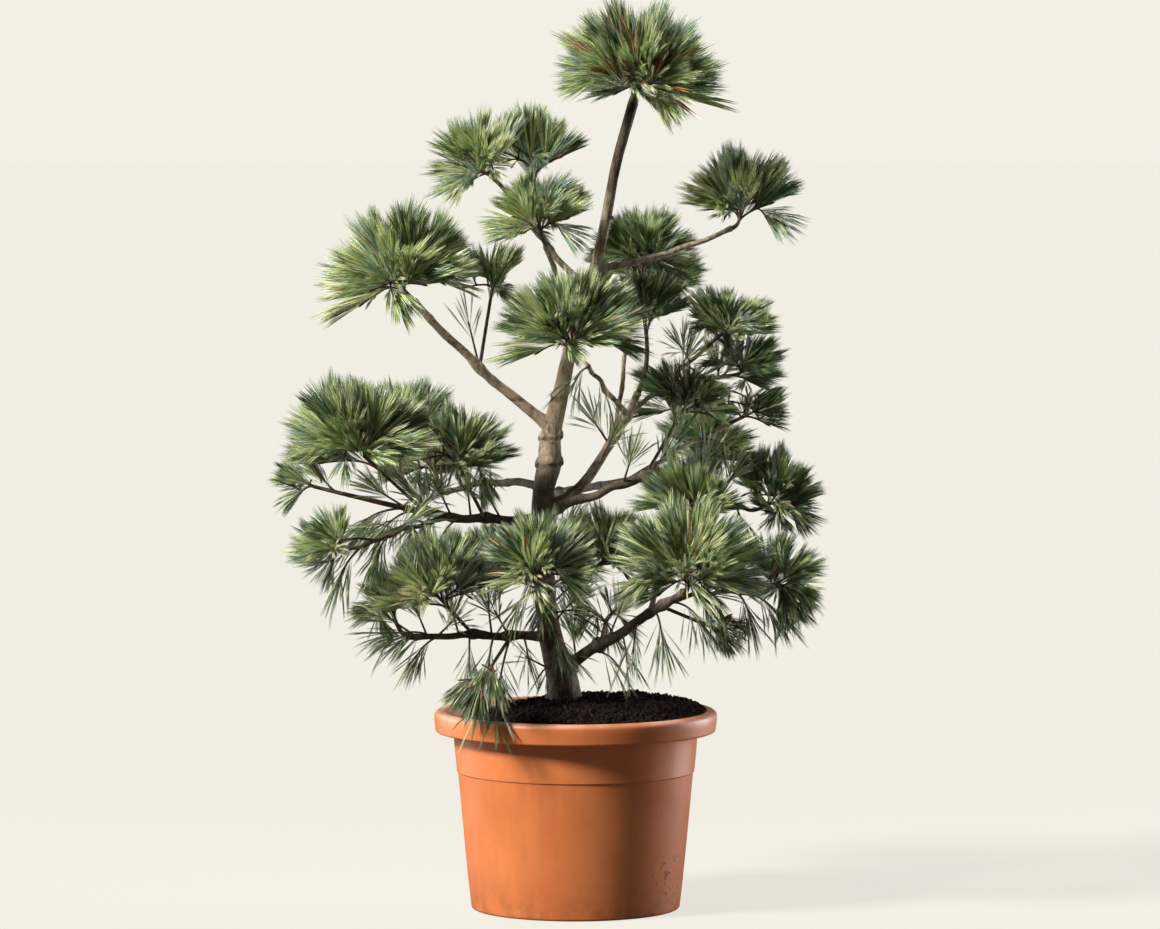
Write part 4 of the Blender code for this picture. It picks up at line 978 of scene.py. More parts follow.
def needle_nodes():
    """Bundles of needles stood on points by their aim and reach, drooping, tinted by spray."""
    tree, given, result = new_node_group(
        "needles",
        (
            ("Bundle", "Object"),
            ("Droop", "Float"),
            ("Seed", "Int"),
            *((tint, "Material") for tint in (*TINTS, "bands")),
        ),
    )
    bundle = wired(tree, "GeometryNodeObjectInfo", {"Object": given["Bundle"]}).outputs["Geometry"]
    aim = wired(tree, "GeometryNodeInputNamedAttribute", {"Name": "aim"}, data_type="FLOAT_VECTOR").outputs[0]
    reach = wired(tree, "GeometryNodeInputNamedAttribute", {"Name": "reach"}).outputs[0]
    slim = wired(tree, "GeometryNodeInputNamedAttribute", {"Name": "slim"}).outputs[0]
    across = math_of(tree, "MULTIPLY", reach, slim)
    size = wired(tree, "ShaderNodeCombineXYZ", {"X": across, "Y": across, "Z": reach})
    upright = wired(tree, "FunctionNodeAlignRotationToVector", {"Vector": aim}, axis="Z")
    spin = wired(tree, "FunctionNodeRandomValue", {"Seed": given["Seed"]})
    spin.inputs[3].default_value = 2 * math.pi
    about = wired(tree, "FunctionNodeAxisAngleToRotation", {"Angle": spin.outputs[1]})
    turned = wired(
        tree,
        "FunctionNodeRotateRotation",
        {"Rotation": upright.outputs[0], "Rotate By": about.outputs[0]},
        rotation_space="LOCAL",
    )
    stood = wired(
        tree,
        "GeometryNodeInstanceOnPoints",
        {"Points": given["Geometry"], "Instance": bundle, "Rotation": turned.outputs[0], "Scale": size.outputs[0]},
    )
    whole = wired(tree, "GeometryNodeRealizeInstances", {"Geometry": stood.outputs[0]})
    out = wired(tree, "GeometryNodeInputNamedAttribute", {"Name": "out"}).outputs[0]
    level = wired(tree, "ShaderNodeVectorMath", {0: aim, 1: (1.0, 1.0, 0.0)}, operation="MULTIPLY")
    level = wired(tree, "ShaderNodeVectorMath", {0: level.outputs[0]}, operation="LENGTH").outputs["Value"]
    sag = math_of(tree, "MULTIPLY", math_of(tree, "MULTIPLY", level, reach), given["Droop"])
    sag = math_of(tree, "MULTIPLY", math_of(tree, "MULTIPLY", out, out), sag)
    down = wired(tree, "ShaderNodeCombineXYZ", {"Z": math_of(tree, "MULTIPLY", sag, -1.0)})
    bowed = wired(tree, "GeometryNodeSetPosition", {"Geometry": whole.outputs[0], "Offset": down.outputs[0]})
    tint = wired(tree, "GeometryNodeInputNamedAttribute", {"Name": "tint"}, data_type="INT").outputs[0]
    last = bowed.outputs[0]
    deep = None
    for number, name in enumerate(TINTS):
        chosen = wired(tree, "FunctionNodeCompare", data_type="INT", operation="EQUAL")
        tree.links.new(tint, chosen.inputs[2])
        chosen.inputs[3].default_value = number
        deep = chosen if number == DEEP_GREEN else deep
        last = wired(
            tree,
            "GeometryNodeSetMaterial",
            {"Geometry": last, "Selection": chosen.outputs[0], "Material": given[name]},
        ).outputs[0]
    # Pale bands go on every needle but the deep green ones, whose tint also serves as painted shade.
    pale = wired(tree, "GeometryNodeInputNamedAttribute", {"Name": "pale"}, data_type="BOOLEAN").outputs[0]
    lit = wired(tree, "FunctionNodeBooleanMath", {0: pale, 1: deep.outputs[0]}, operation="NIMPLY")
    banded = wired(
        tree,
        "GeometryNodeSetMaterial",
        {"Geometry": last, "Selection": lit.outputs[0], "Material": given["bands"]},
    )
    tree.links.new(banded.outputs[0], result["Geometry"])
    return tree


def strew_nodes():
    """Small pieces strewn on the upper faces of a surface, turned and sized at random."""
    tree, given, result = new_node_group(
        "strewn",
        (
            ("Piece", "Object"),
            ("Density", "Float"),
            ("Smallest", "Float"),
            ("Largest", "Float"),
            ("Tumble", "Float"),
            ("Seed", "Int"),
            ("Material", "Material"),
        ),
    )
    normal = wired(tree, "GeometryNodeInputNormal").outputs[0]
    upward = wired(tree, "ShaderNodeSeparateXYZ", {0: normal}).outputs["Z"]
    top = wired(tree, "FunctionNodeCompare", {0: upward, 1: 0.35}, operation="GREATER_THAN")
    spots = wired(
        tree,
        "GeometryNodeDistributePointsOnFaces",
        {"Mesh": given["Geometry"], "Selection": top.outputs[0], "Density": given["Density"], "Seed": given["Seed"]},
    )
    size = wired(tree, "FunctionNodeRandomValue", {"Seed": given["Seed"]})
    tree.links.new(given["Smallest"], size.inputs[2])
    tree.links.new(given["Largest"], size.inputs[3])
    turn = wired(tree, "FunctionNodeRandomValue", {"Seed": math_of(tree, "ADD", given["Seed"], 1.0)}, data_type="FLOAT_VECTOR")
    turn.inputs[0].default_value = (-1.0, -1.0, -math.pi)
    turn.inputs[1].default_value = (1.0, 1.0, math.pi)
    tilt = wired(tree, "ShaderNodeCombineXYZ", {"X": given["Tumble"], "Y": given["Tumble"], "Z": 1.0})
    euler = wired(tree, "ShaderNodeVectorMath", {0: turn.outputs[0], 1: tilt.outputs[0]}, operation="MULTIPLY")
    piece = wired(tree, "GeometryNodeObjectInfo", {"Object": given["Piece"]}).outputs["Geometry"]
    laid = wired(
        tree,
        "GeometryNodeInstanceOnPoints",
        {"Points": spots.outputs[0], "Instance": piece, "Rotation": euler.outputs[0], "Scale": size.outputs[1]},
    )
    whole = wired(tree, "GeometryNodeRealizeInstances", {"Geometry": laid.outputs[0]})
    done = wired(
        tree, "GeometryNodeSetMaterial", {"Geometry": whole.outputs[0], "Material": given["Material"]}
    )
    tree.links.new(done.outputs[0], result["Geometry"])
    return tree


def grown_by(name, source, tree, values, nodes):
    """The mesh that the tree makes of the source, as a finished piece that stands for the nodes."""
    change = source.modifiers.new(tree.name, "NODES")
    change.node_group = tree
    for item in tree.interface.items_tree:
        if item.in_out == "INPUT" and item.name in values:
            change[item.identifier] = values[item.name]
    bpy.context.view_layer.update()
    evaluated = source.evaluated_get(bpy.context.evaluated_depsgraph_get())
    mesh = bpy.data.meshes.new_from_object(evaluated)
    bpy.data.objects.remove(source, do_unlink=True)
    for spent in ("aim", "reach", "slim", "tint", "out", "pale", "girth"):
        if spent in mesh.attributes:
            mesh.attributes.remove(mesh.attributes[spent])
    mesh.name = name
    return settled(name, mesh, nodes)


def settled(name, mesh, nodes):
    """The mesh as a piece of the object, in place of the nodes."""
    piece = bpy.data.objects.new(name, mesh)
    bpy.context.scene.collection.objects.link(piece)
    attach(piece, "root")
    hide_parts(*nodes)
    return piece


def hidden_shape(name, corners, faces):
    """A small mesh that Geometry Nodes repeat. It is no piece, and goes once they have run."""
    mesh = bpy.data.meshes.new(name)
    mesh.from_pydata([tuple(corner) for corner in corners], [], faces)
    mesh.update()
    made = bpy.data.objects.new(name, mesh)
    bpy.context.scene.collection.objects.link(made)
    return made


def turned_mesh(name, profile, segments):
    """A closed solid turned from (radius, height) points that start and end on the axis."""
    corners = []
    rows = []
    for radius, height in profile:
        if radius == 0.0:
            rows.append([len(corners)] * segments)
            corners.append((0.0, 0.0, height))
            continue
        rows.append(list(range(len(corners), len(corners) + segments)))
        for turn in np.linspace(0.0, 2 * math.pi, segments, endpoint=False):
            corners.append((radius * math.cos(turn), radius * math.sin(turn), height))
    faces = []
    for upper, lower in zip(rows, rows[1:]):
        for index in range(segments):
            after = (index + 1) % segments
            face = [upper[index], lower[index], lower[after], upper[after]]
            faces.append(list(dict.fromkeys(face)))
    mesh = bpy.data.meshes.new(name)
    mesh.from_pydata(corners, [], faces)
    mesh.update()
    mesh.shade_smooth()
    mesh.set_sharp_from_angle(angle=SHARP_ANGLE)
    return mesh


def arc(centre, radius, start, end, steps):
    """(radius, height) points on an arc, with its angles in degrees."""
    turns = np.radians(np.linspace(start, end, steps + 1))
    return [(centre[0] + radius * math.cos(turn), centre[1] + radius * math.sin(turn)) for turn in turns]


def pot_profile(pot):
    """From the middle of the inside, up the wall, over the rim and down to the foot's middle."""
    top = pot.height
    rim = pot.rim_radius
    foot = pot.foot_radius
    inside = [(0.0, 0.004), (foot - 0.006, 0.004), (0.1860, 0.210), (0.1950, 0.284)]
    mouth = [(0.2115, 0.3150), (0.2122, 0.3190)]
    lip = arc((0.2160, 0.3210), 0.0040, 180, 90, 5) + arc((rim - 0.0085, top - 0.0085), 0.0085, 90, 0, 7)
    skirt = [(rim - 0.0004, top - 0.0180), (rim - 0.0018, top - 0.0270)]
    under = arc((rim - 0.0055, top - 0.0305), 0.0035, 0, -90, 5) + [(rim - 0.0160, top - 0.0332)]
    neck = arc((0.2042, 0.2870), 0.0045, 90, 180, 4) + [(0.1985, 0.2680), (0.1946, 0.2275)]
    step = arc((0.1938, 0.2263), 0.0008, 0, -90, 3) + [(0.1928, 0.2246), (0.1922, 0.2200)]
    body = [(0.1862, 0.1550), (0.1811, 0.1000), (0.1756, 0.0450), (foot + 0.0002, 0.0060)]
    base = arc((foot - 0.0045, 0.0045), 0.0045, 0, -90, 5) + [(foot - 0.0200, 0.0), (0.0, 0.0)]
    return inside + mouth + lip + skirt + under + neck + step + body + base


class PINE_OT_pot(bpy.types.Operator):
    """Turns the plastic pot with its rolled rim, neck and foot"""

    bl_idname = "pine.pot"
    bl_label = "Pot"

    def execute(self, context):
        pot = context.scene.pine_pot
        mesh = turned_mesh("pot_shell", pot_profile(pot), pot.segments)
        mesh.materials.append(self.plastic(pot))
        settled("pot_shell", mesh, ("pot",))
        return {"FINISHED"}

    def plastic(self, pot):
        """Matt plastic with cloudy colour, dust towards the foot, dirt low on the right and a painted highlight along
        the rim's upper edge.
        """
        made, tree, shader, place = new_finish("terracotta plastic")
        clouds = span(tree, noise(tree, place, 7.0, 5.0, 0.6), 0.35, 0.68)
        colour = mixed(tree, clouds, tuple(pot.shade), tuple(pot.plastic))
        streaks = span(tree, noise(tree, place, 46.0, 3.0, 0.5, (1.0, 1.0, 0.05)), 0.52, 0.74, 0.0, 0.22)
        colour = mixed(tree, streaks, colour, toned(pot.plastic, 1.25))
        height = wired(tree, "ShaderNodeSeparateXYZ", {0: place}).outputs["Z"]
        low = span(tree, height, 0.075, 0.0, 0.0, 0.50)
        dust = math_of(tree, "MULTIPLY", low, span(tree, noise(tree, place, 28.0, 6.0, 0.7), 0.42, 0.66))
        colour = mixed(tree, dust, colour, tuple(pot.grime))
        spot = wired(tree, "ShaderNodeVectorMath", {0: place, 1: (0.152, -0.096, 0.062)}, operation="DISTANCE")
        near = span(tree, spot.outputs["Value"], 0.060, 0.016)
        specks = span(tree, noise(tree, place, 105.0, 4.0, 0.7), 0.575, 0.61)
        dirt = math_of(tree, "MULTIPLY", near, specks)
        splash = span(tree, noise(tree, place, 240.0, 2.0, 0.5), 0.735, 0.76, 0.0, 0.55)
        colour = mixed(tree, math_of(tree, "MAXIMUM", dirt, splash), colour, tuple(pot.grime))
        # Painted highlight: a pale, patchy line along the rim's upper edge.
        painted_rim_highlight = span(tree, noise(tree, place, 14.0, 4.0, 0.6), 0.35, 0.60, 0.12, 0.42)
        edge = span(tree, height, pot.height - 0.0070, pot.height - 0.0030)
        colour = mixed(tree, math_of(tree, "MULTIPLY", edge, painted_rim_highlight), colour, tuple(pot.painted_rim_highlight))
        tree.links.new(colour, shader.inputs["Base Color"])
        rough = span(tree, noise(tree, place, 18.0, 5.0, 0.6), 0.3, 0.7, 0.34, 0.50)
        rough = math_of(tree, "ADD", rough, math_of(tree, "MULTIPLY", dirt, 0.4))
        tree.links.new(rough, shader.inputs["Roughness"])
        grain = noise(tree, place, 420.0, 3.0, 0.6)
        relief(tree, shader, math_of(tree, "ADD", grain, dirt), 0.12, 0.0008)
        shader.inputs["Specular IOR Level"].default_value = 0.45
        return made


def toned(colour, factor):
    return tuple(min(1.0, part * factor) for part in colour)


# The heap of peat: its height at the trunk, over most of its width and at the wall.
SOIL_TOP = 0.3427
SOIL_HEAP = 0.336
SOIL_EDGE = 0.3155
SOIL_FLAT_RADIUS = 0.045
SOIL_HEAP_RADIUS = 0.125
SOIL_WALL_RADIUS = 0.2115
SOIL_FOOT_RADIUS = 0.194
SOIL_FOOT = 0.282
SOIL_SLOPE_POWER = 1.6
SOIL_HIGH_SIDE = math.radians(28)
SOIL_LOW_SIDE = math.radians(140)
SOIL_DIP = 0.016
SOIL_RINGS = 60
SOIL_SECTORS = 168


def soil_height(radius, turn, lean):
    """The heap's height over the ground, higher on its right and back than on its left."""
    if radius <= SOIL_FLAT_RADIUS:
        return SOIL_TOP
    if radius <= SOIL_HEAP_RADIUS:
        share = (radius - SOIL_FLAT_RADIUS) / (SOIL_HEAP_RADIUS - SOIL_FLAT_RADIUS)
        height = SOIL_TOP + share * (SOIL_HEAP - SOIL_TOP)
    else:
        share = (radius - SOIL_HEAP_RADIUS) / (SOIL_WALL_RADIUS - SOIL_HEAP_RADIUS)
        height = SOIL_HEAP + share**SOIL_SLOPE_POWER * (SOIL_EDGE - SOIL_HEAP)
    outward = (radius - SOIL_FLAT_RADIUS) / (SOIL_WALL_RADIUS - SOIL_FLAT_RADIUS)
    dip = SOIL_DIP * max(0.0, math.cos(turn - SOIL_LOW_SIDE))
    return height + outward * (lean * math.cos(turn - SOIL_HIGH_SIDE) - dip)


def soil_mesh(soil):
    """The heap's lumpy top, closed by the ball's sides and underside."""
    turns = np.linspace(0.0, 2 * math.pi, SOIL_SECTORS, endpoint=False)
    radii = np.linspace(0.0, SOIL_WALL_RADIUS, SOIL_RINGS + 1)[1:]
    corners = [(0.0, 0.0, SOIL_TOP)]
    for radius in radii:
        for turn in turns:
            height = soil_height(radius, turn, soil.lean)
            corners.append((radius * math.cos(turn), radius * math.sin(turn), height))
    for turn in turns:
        corners.append((SOIL_FOOT_RADIUS * math.cos(turn), SOIL_FOOT_RADIUS * math.sin(turn), SOIL_FOOT))
    corners.append((0.0, 0.0, SOIL_FOOT))
    faces = []
    for index in range(SOIL_SECTORS):
        after = (index + 1) % SOIL_SECTORS
        faces.append((0, 1 + index, 1 + after))
        for ring in range(SOIL_RINGS):
            inner = 1 + ring * SOIL_SECTORS
            outer = inner + SOIL_SECTORS
            faces.append((inner + index, outer + index, outer + after, inner + after))
        foot = 1 + SOIL_RINGS * SOIL_SECTORS
        faces.append((foot + after, foot + index, len(corners) - 1))
    mesh = bpy.data.meshes.new("peat")
    mesh.from_pydata(corners, [], faces)
    mesh.update()
    return mesh


def lump_nodes():
    """Raises and sinks the upper faces by noise, so that a smooth heap turns crumbly."""
    tree, given, result = new_node_group("lumps", (("Lumps", "Float"), ("Material", "Material")))
    place = wired(tree, "GeometryNodeInputPosition").outputs[0]
    wide = noise(tree, place, 26.0, 3.0, 0.6)
    fine = noise(tree, place, 120.0, 4.0, 0.7)
    both = math_of(tree, "SUBTRACT", math_of(tree, "ADD", wide, math_of(tree, "MULTIPLY", fine, 0.6)), 0.8)
    apart = wired(tree, "ShaderNodeSeparateXYZ", {0: place})
    flat = wired(tree, "ShaderNodeVectorMath", {0: place, 1: (1.0, 1.0, 0.0)}, operation="MULTIPLY")
    radius = wired(tree, "ShaderNodeVectorMath", {0: flat.outputs[0]}, operation="LENGTH").outputs["Value"]
    held = span(tree, radius, SOIL_WALL_RADIUS - 0.001, SOIL_WALL_RADIUS - 0.012)
    top = span(tree, apart.outputs["Z"], SOIL_FOOT + 0.005, SOIL_FOOT + 0.020)
    amount = math_of(tree, "MULTIPLY", math_of(tree, "MULTIPLY", both, held), top)
    lift = math_of(tree, "MULTIPLY", amount, math_of(tree, "MULTIPLY", given["Lumps"], 5.0))
    up = wired(tree, "ShaderNodeCombineXYZ", {"Z": lift})
    moved = wired(tree, "GeometryNodeSetPosition", {"Geometry": given["Geometry"], "Offset": up.outputs[0]})
    smooth = wired(tree, "GeometryNodeSetShadeSmooth", {"Geometry": moved.outputs[0]})
    whole = wired(tree, "GeometryNodeRealizeInstances", {"Geometry": smooth.outputs[0]})
    done = wired(
        tree, "GeometryNodeSetMaterial", {"Geometry": whole.outputs[0], "Material": given["Material"]}
    )
    tree.links.new(done.outputs[0], result["Geometry"])
    return tree


def crumb_shape(rng):
    """A rough lump of twenty faces and unit radius."""
    golden = (1 + math.sqrt(5)) / 2
    corners = []
    for one in (-1, 1):
        for two in (-golden, golden):
            corners += [(0, one, two), (one, two, 0), (two, 0, one)]
    corners = np.array(corners, dtype=float)
    corners = corners / np.linalg.norm(corners, axis=1, keepdims=True)
    edge = min(np.linalg.norm(corners[0] - other) for other in corners[1:])
    faces = []
    for one in range(12):
        for two in range(one + 1, 12):
            for three in range(two + 1, 12):
                trio = corners[[one, two, three]]
                sides = [np.linalg.norm(trio[index] - trio[index - 1]) for index in range(3)]
                if max(sides) < edge * 1.01:
                    outward = np.dot(np.cross(trio[1] - trio[0], trio[2] - trio[0]), trio.sum(axis=0)) > 0
                    faces.append((one, two, three) if outward else (one, three, two))
    corners *= rng.uniform(0.62, 1.15, (12, 1))
    corners *= (1.15, 0.9, 0.75)
    return hidden_shape("crumb", corners, faces)


def chip_shape(size):
    """A flat splinter of bark with pointed ends."""
    long, wide, thick = size
    corners = [(-long, 0, 0), (-long / 2, wide, 0), (long / 2, wide * 0.7, 0), (long, 0, 0)]
    corners += [(long / 2, -wide, 0), (-long / 2, -wide * 0.8, 0), (0, 0, thick), (0, 0, -thick)]
    faces = []
    for index in range(6):
        after = (index + 1) % 6
        faces.append((after, index, 6) if index > after else (after, index, 6))
        faces.append((index, after, 7))
    return hidden_shape("chip", corners, faces)


class PINE_OT_soil(bpy.types.Operator):
    """Heaps the peat and strews crumbs, bark chips and fallen needles on it"""

    bl_idname = "pine.soil"
    bl_label = "Soil"

    def execute(self, context):
        soil = context.scene.pine_soil
        rng = np.random.default_rng(STREW_SEED)
        peat = self.peat("peat", soil.dark, soil.light, 0.46, 0.74)
        heap = bpy.data.objects.new("heap", soil_mesh(soil))
        context.scene.collection.objects.link(heap)
        values = {"Lumps": soil.lumps, "Material": peat}
        piece = grown_by("peat_heap", heap, lump_nodes(), values, ("soil",))
        strewn = strew_nodes()
        size = soil.crumb_size
        crumb = self.peat("peat crumbs", soil.dark, soil.light, 0.38, 0.70)
        chip = self.peat("bark chips", toned(soil.chip, 0.4), soil.chip, 0.35, 0.65)
        straw = self.peat("fallen needles", toned(soil.straw, 0.6), soil.straw, 0.35, 0.65)
        needle = (0.030, 0.0007, 0.0005)
        for name, shape, density, least, most, tumble, finish in (
            ("peat_crumbs", crumb_shape(rng), soil.crumbs, size * 0.35, size, 3.0, crumb),
            ("bark_chips", chip_shape((0.006, 0.0024, 0.0012)), 1500.0, 0.5, 1.3, 0.5, chip),
            ("fallen_needles", chip_shape(needle), 520.0, 0.5, 1.1, 0.16, straw),
        ):
            ground = bpy.data.objects.new(f"{name}_ground", piece.data.copy())
            context.scene.collection.objects.link(ground)
            values = {
                "Piece": shape,
                "Density": density,
                "Smallest": least,
                "Largest": most,
                "Tumble": tumble,
                "Seed": STREW_SEED,
                "Material": finish,
            }
            grown_by(name, ground, strewn, values, ("soil",))
            bpy.data.objects.remove(shape, do_unlink=True)
        return {"FINISHED"}

    def peat(self, name, dark, light, low, high):
        made, tree, shader, place = new_finish(name)
        fleck = noise(tree, place, 150.0, 6.0, 0.72)
        tree.links.new(
            ramp(tree, fleck, ((low, tuple(dark)), (high, tuple(light)))), shader.inputs["Base Color"]
        )
        relief(tree, shader, noise(tree, place, 420.0, 5.0, 0.75), 0.9, 0.002)
        shader.inputs["Roughness"].default_value = 0.93
        shader.inputs["Specular IOR Level"].default_value = 0.08
        return made


class PINE_OT_limbs(bpy.types.Operator):
    """Sweeps the trunk and the boughs with bark, knuckles and the stubs of pruned boughs"""

    bl_idname = "pine.limbs"
    bl_label = "Trunk and boughs"

    def execute(self, context):
        bark = context.scene.pine_bark
        limbs = growth()[0]
        tree = limb_nodes()
        finish = self.bark(bark)
        stations = limbs["trunk"]
        foot = stations.points[0] - np.array([0.0, 0.0, TRUNK_FOOT])
        points = np.vstack([foot, stations.points])
        radii = np.concatenate([[stations.radii[0] * 1.04], stations.radii])
        trunk = smoothed(points, radii, TRUNK_STEPS)
        shares = shares_of(trunk.points)
        heights = trunk.points[:, 2]
        stubs = []
        for height, heading, length, radius in STUBS:
            axis = np.array([np.interp(height, heights, trunk.points[:, part]) for part in range(3)])
            thick = float(np.interp(height, heights, trunk.radii))
            out = direction(heading, 12)
            ends = [axis + out * run for run in (0.0, thick - 0.002, thick + length * 0.6, thick + length)]
            stubs.append(Route(np.array(ends), radius * np.array([1.5, 1.35, 1.0, 0.55])))
        values = {"Sides": bark.trunk_sides, "Relief": bark.relief, "Grain": 95.0, "Material": finish}
        grown_by("trunk_bark", curve_of("trunk_axis", [trunk] + stubs), tree, values, ("trunk",))
        rng = np.random.default_rng(LIMB_SEED)
        boughs = [dressed(limbs[bough.name], bough.name, limbs[bough.parent], rng) for bough in BOUGHS]
        values["Sides"] = bark.bough_sides
        values["Relief"] = bark.relief * 1.3
        names = [bough.name for bough in BOUGHS]
        grown_by("bough_bark", curve_of("bough_axes", boughs), tree, values, names)
        return {"FINISHED"}

    def bark(self, bark):
        """Smooth tan bark that darkens downwards and inwards, with scars across and flakes, a patch of painted light
        round the inner boughs and painted shade near the top and at the foot.
        """
        made, tree, shader, place = new_finish("pine bark")
        height = wired(tree, "ShaderNodeSeparateXYZ", {0: place}).outputs["Z"]
        blotch = noise(tree, place, 16.0, 4.0, 0.6)
        age = math_of(tree, "ADD", span(tree, height, 0.71, 0.80), math_of(tree, "MULTIPLY", blotch, 0.9))
        age = span(tree, age, 0.38, 1.15)
        hue = span(tree, noise(tree, place, 11.0, 3.0, 0.6), 0.42, 0.58)
        young = mixed(tree, hue, tuple(bark.young), tuple(bark.pink))
        # Painted light: near the inner boughs the young bark is made lighter, as if the sun reached it there.
        painted_light = wired(tree, "ShaderNodeVectorMath", {0: place, 1: PAINTED_LIGHT_PLACE}, operation="DISTANCE")
        painted_light = span(tree, painted_light.outputs["Value"], PAINTED_LIGHT_REACH, PAINTED_LIGHT_REACH / 3)
        young = mixed(tree, painted_light, young, mixed(tree, hue, toned(bark.young, 1.5), toned(bark.pink, 1.45)))
        # From about a metre up the young bark darkens: painted shade under the crown, with darker bark there.
        young = mixed(tree, span(tree, height, 0.97, 1.08, 0.0, 0.85), young, toned(bark.young, 0.27))
        base = mixed(tree, age, tuple(bark.old), young)
        # Near the soil the bark goes darker still: painted shade at the trunk's foot, with its dark old bark.
        base = mixed(tree, span(tree, height, 0.42, 0.36, 0.0, 0.8), base, toned(bark.old, 0.3))
        flakes = span(tree, noise(tree, place, 110.0, 7.0, 0.75, (1.0, 1.0, 0.42)), 0.44, 0.60)
        base = mixed(tree, math_of(tree, "MULTIPLY", flakes, 0.60), base, mixed(tree, age, toned(bark.young, 0.30), toned(bark.young, 1.40)))
        cracks = span(tree, noise(tree, place, 85.0, 8.0, 0.8, (1.0, 1.0, 0.32)), 0.50, 0.40, 0.0, 0.72)
        base = mixed(tree, cracks, base, toned(bark.old, 1.5))
        ragged = math_of(tree, "MULTIPLY", noise(tree, place, 60.0, 5.0, 0.7), 0.014)
        for scar in SCARS:
            near = wired(tree, "ShaderNodeMath", {0: height, 1: ragged}, operation="SUBTRACT").outputs[0]
            near = wired(tree, "ShaderNodeMath", {0: math_of(tree, "SUBTRACT", near, scar)}, operation="ABSOLUTE")
            base = mixed(tree, span(tree, near.outputs[0], 0.0050, 0.0015, 0.0, 0.75), base, toned(bark.old, 0.9))
        streaks = span(tree, noise(tree, place, 150.0, 5.0, 0.65, (1.0, 1.0, 0.13)), 0.44, 0.60, 0.0, 0.45)
        base = mixed(tree, streaks, base, mixed(tree, age, toned(bark.young, 0.30), toned(bark.young, 1.5)))
        rings = span(tree, noise(tree, place, 42.0, 5.0, 0.65, (0.7, 0.7, 2.2)), 0.62, 0.72, 0.0, 0.55)
        base = mixed(tree, rings, base, toned(bark.old, 0.8))
        pits = wired(tree, "ShaderNodeTexVoronoi", {"Vector": place, "Scale": 190.0}).outputs["Distance"]
        pitted = span(tree, pits, 0.16, 0.05, 0.0, 0.7)
        base = mixed(tree, pitted, base, toned(bark.old, 0.6))
        # Painted shade: near the top the bark is multiplied down under the crown, with its browner colour.
        base = mixed(tree, span(tree, height, 1.10, 1.18, 0.0, 0.85), base, UPPER_SHADE, blend="MULTIPLY")
        tree.links.new(base, shader.inputs["Base Color"])
        depth = math_of(tree, "SUBTRACT", noise(tree, place, 150.0, 7.0, 0.7, (1.0, 1.0, 0.5)), rings)
        relief(tree, shader, math_of(tree, "SUBTRACT", depth, pitted), 1.0, 0.0040)
        shader.inputs["Roughness"].default_value = 0.78
        shader.inputs["Specular IOR Level"].default_value = 0.3
        return made


class PINE_OT_twigs(bpy.types.Operator):
    """Sweeps each mass's stem, its shoots and their buds"""

    bl_idname = "pine.twigs"
    bl_label = "Twigs and buds"

    def execute(self, context):
        bark = context.scene.pine_bark
        _, stems, shoots, _ = growth()
        tree = limb_nodes()
        twig = self.twig_bark("twig bark", toned(bark.twig, 0.5), bark.twig, toned(bark.twig, 2.1))
        scale = self.twig_bark("bud scales", toned(bark.bud, 0.45), bark.bud, toned(bark.bud, 1.5))
        values = {"Sides": bark.twig_sides, "Relief": 0.2, "Grain": 260.0, "Material": twig}
        for quarter, names in QUARTERS.items():
            nodes = [f"foliage_{name}" for name in names]
            routes = [stems[name] for name in nodes]
            routes += [shoot for name in nodes for shoot in shoots[name]]
            axes = curve_of(f"twig_axes_{quarter}", routes)
            grown_by(f"twigs_{quarter}", axes, tree, values, nodes)
        values["Material"] = scale
        buds = [self.bud(shoot) for grown in shoots.values() for shoot in grown]
        grown_by("buds", curve_of("bud_axes", buds), tree, values, list(shoots))
        return {"FINISHED"}

    def bud(self, shoot):
        """A pointed bud on from the shoot's tip."""
        tip = shoot.points[-1]
        along = tip - shoot.points[-2]
        along = along / np.linalg.norm(along)
        runs = np.array([-0.3, 0.15, 0.55, 1.0]) * BUD_LENGTH
        return Route(tip + runs[:, None] * along, BUD_RADIUS * np.array([0.7, 1.0, 0.8, 0.12]))

    def twig_bark(self, name, dark, middle, light):
        made, tree, shader, place = new_finish(name)
        patch = noise(tree, place, 70.0, 5.0, 0.65)
        stops = ((0.34, tuple(dark)), (0.50, tuple(middle)), (0.72, tuple(light)))
        tree.links.new(ramp(tree, patch, stops), shader.inputs["Base Color"])
        relief(tree, shader, noise(tree, place, 520.0, 4.0, 0.7), 0.7, 0.001)
        shader.inputs["Roughness"].default_value = 0.72
        return made


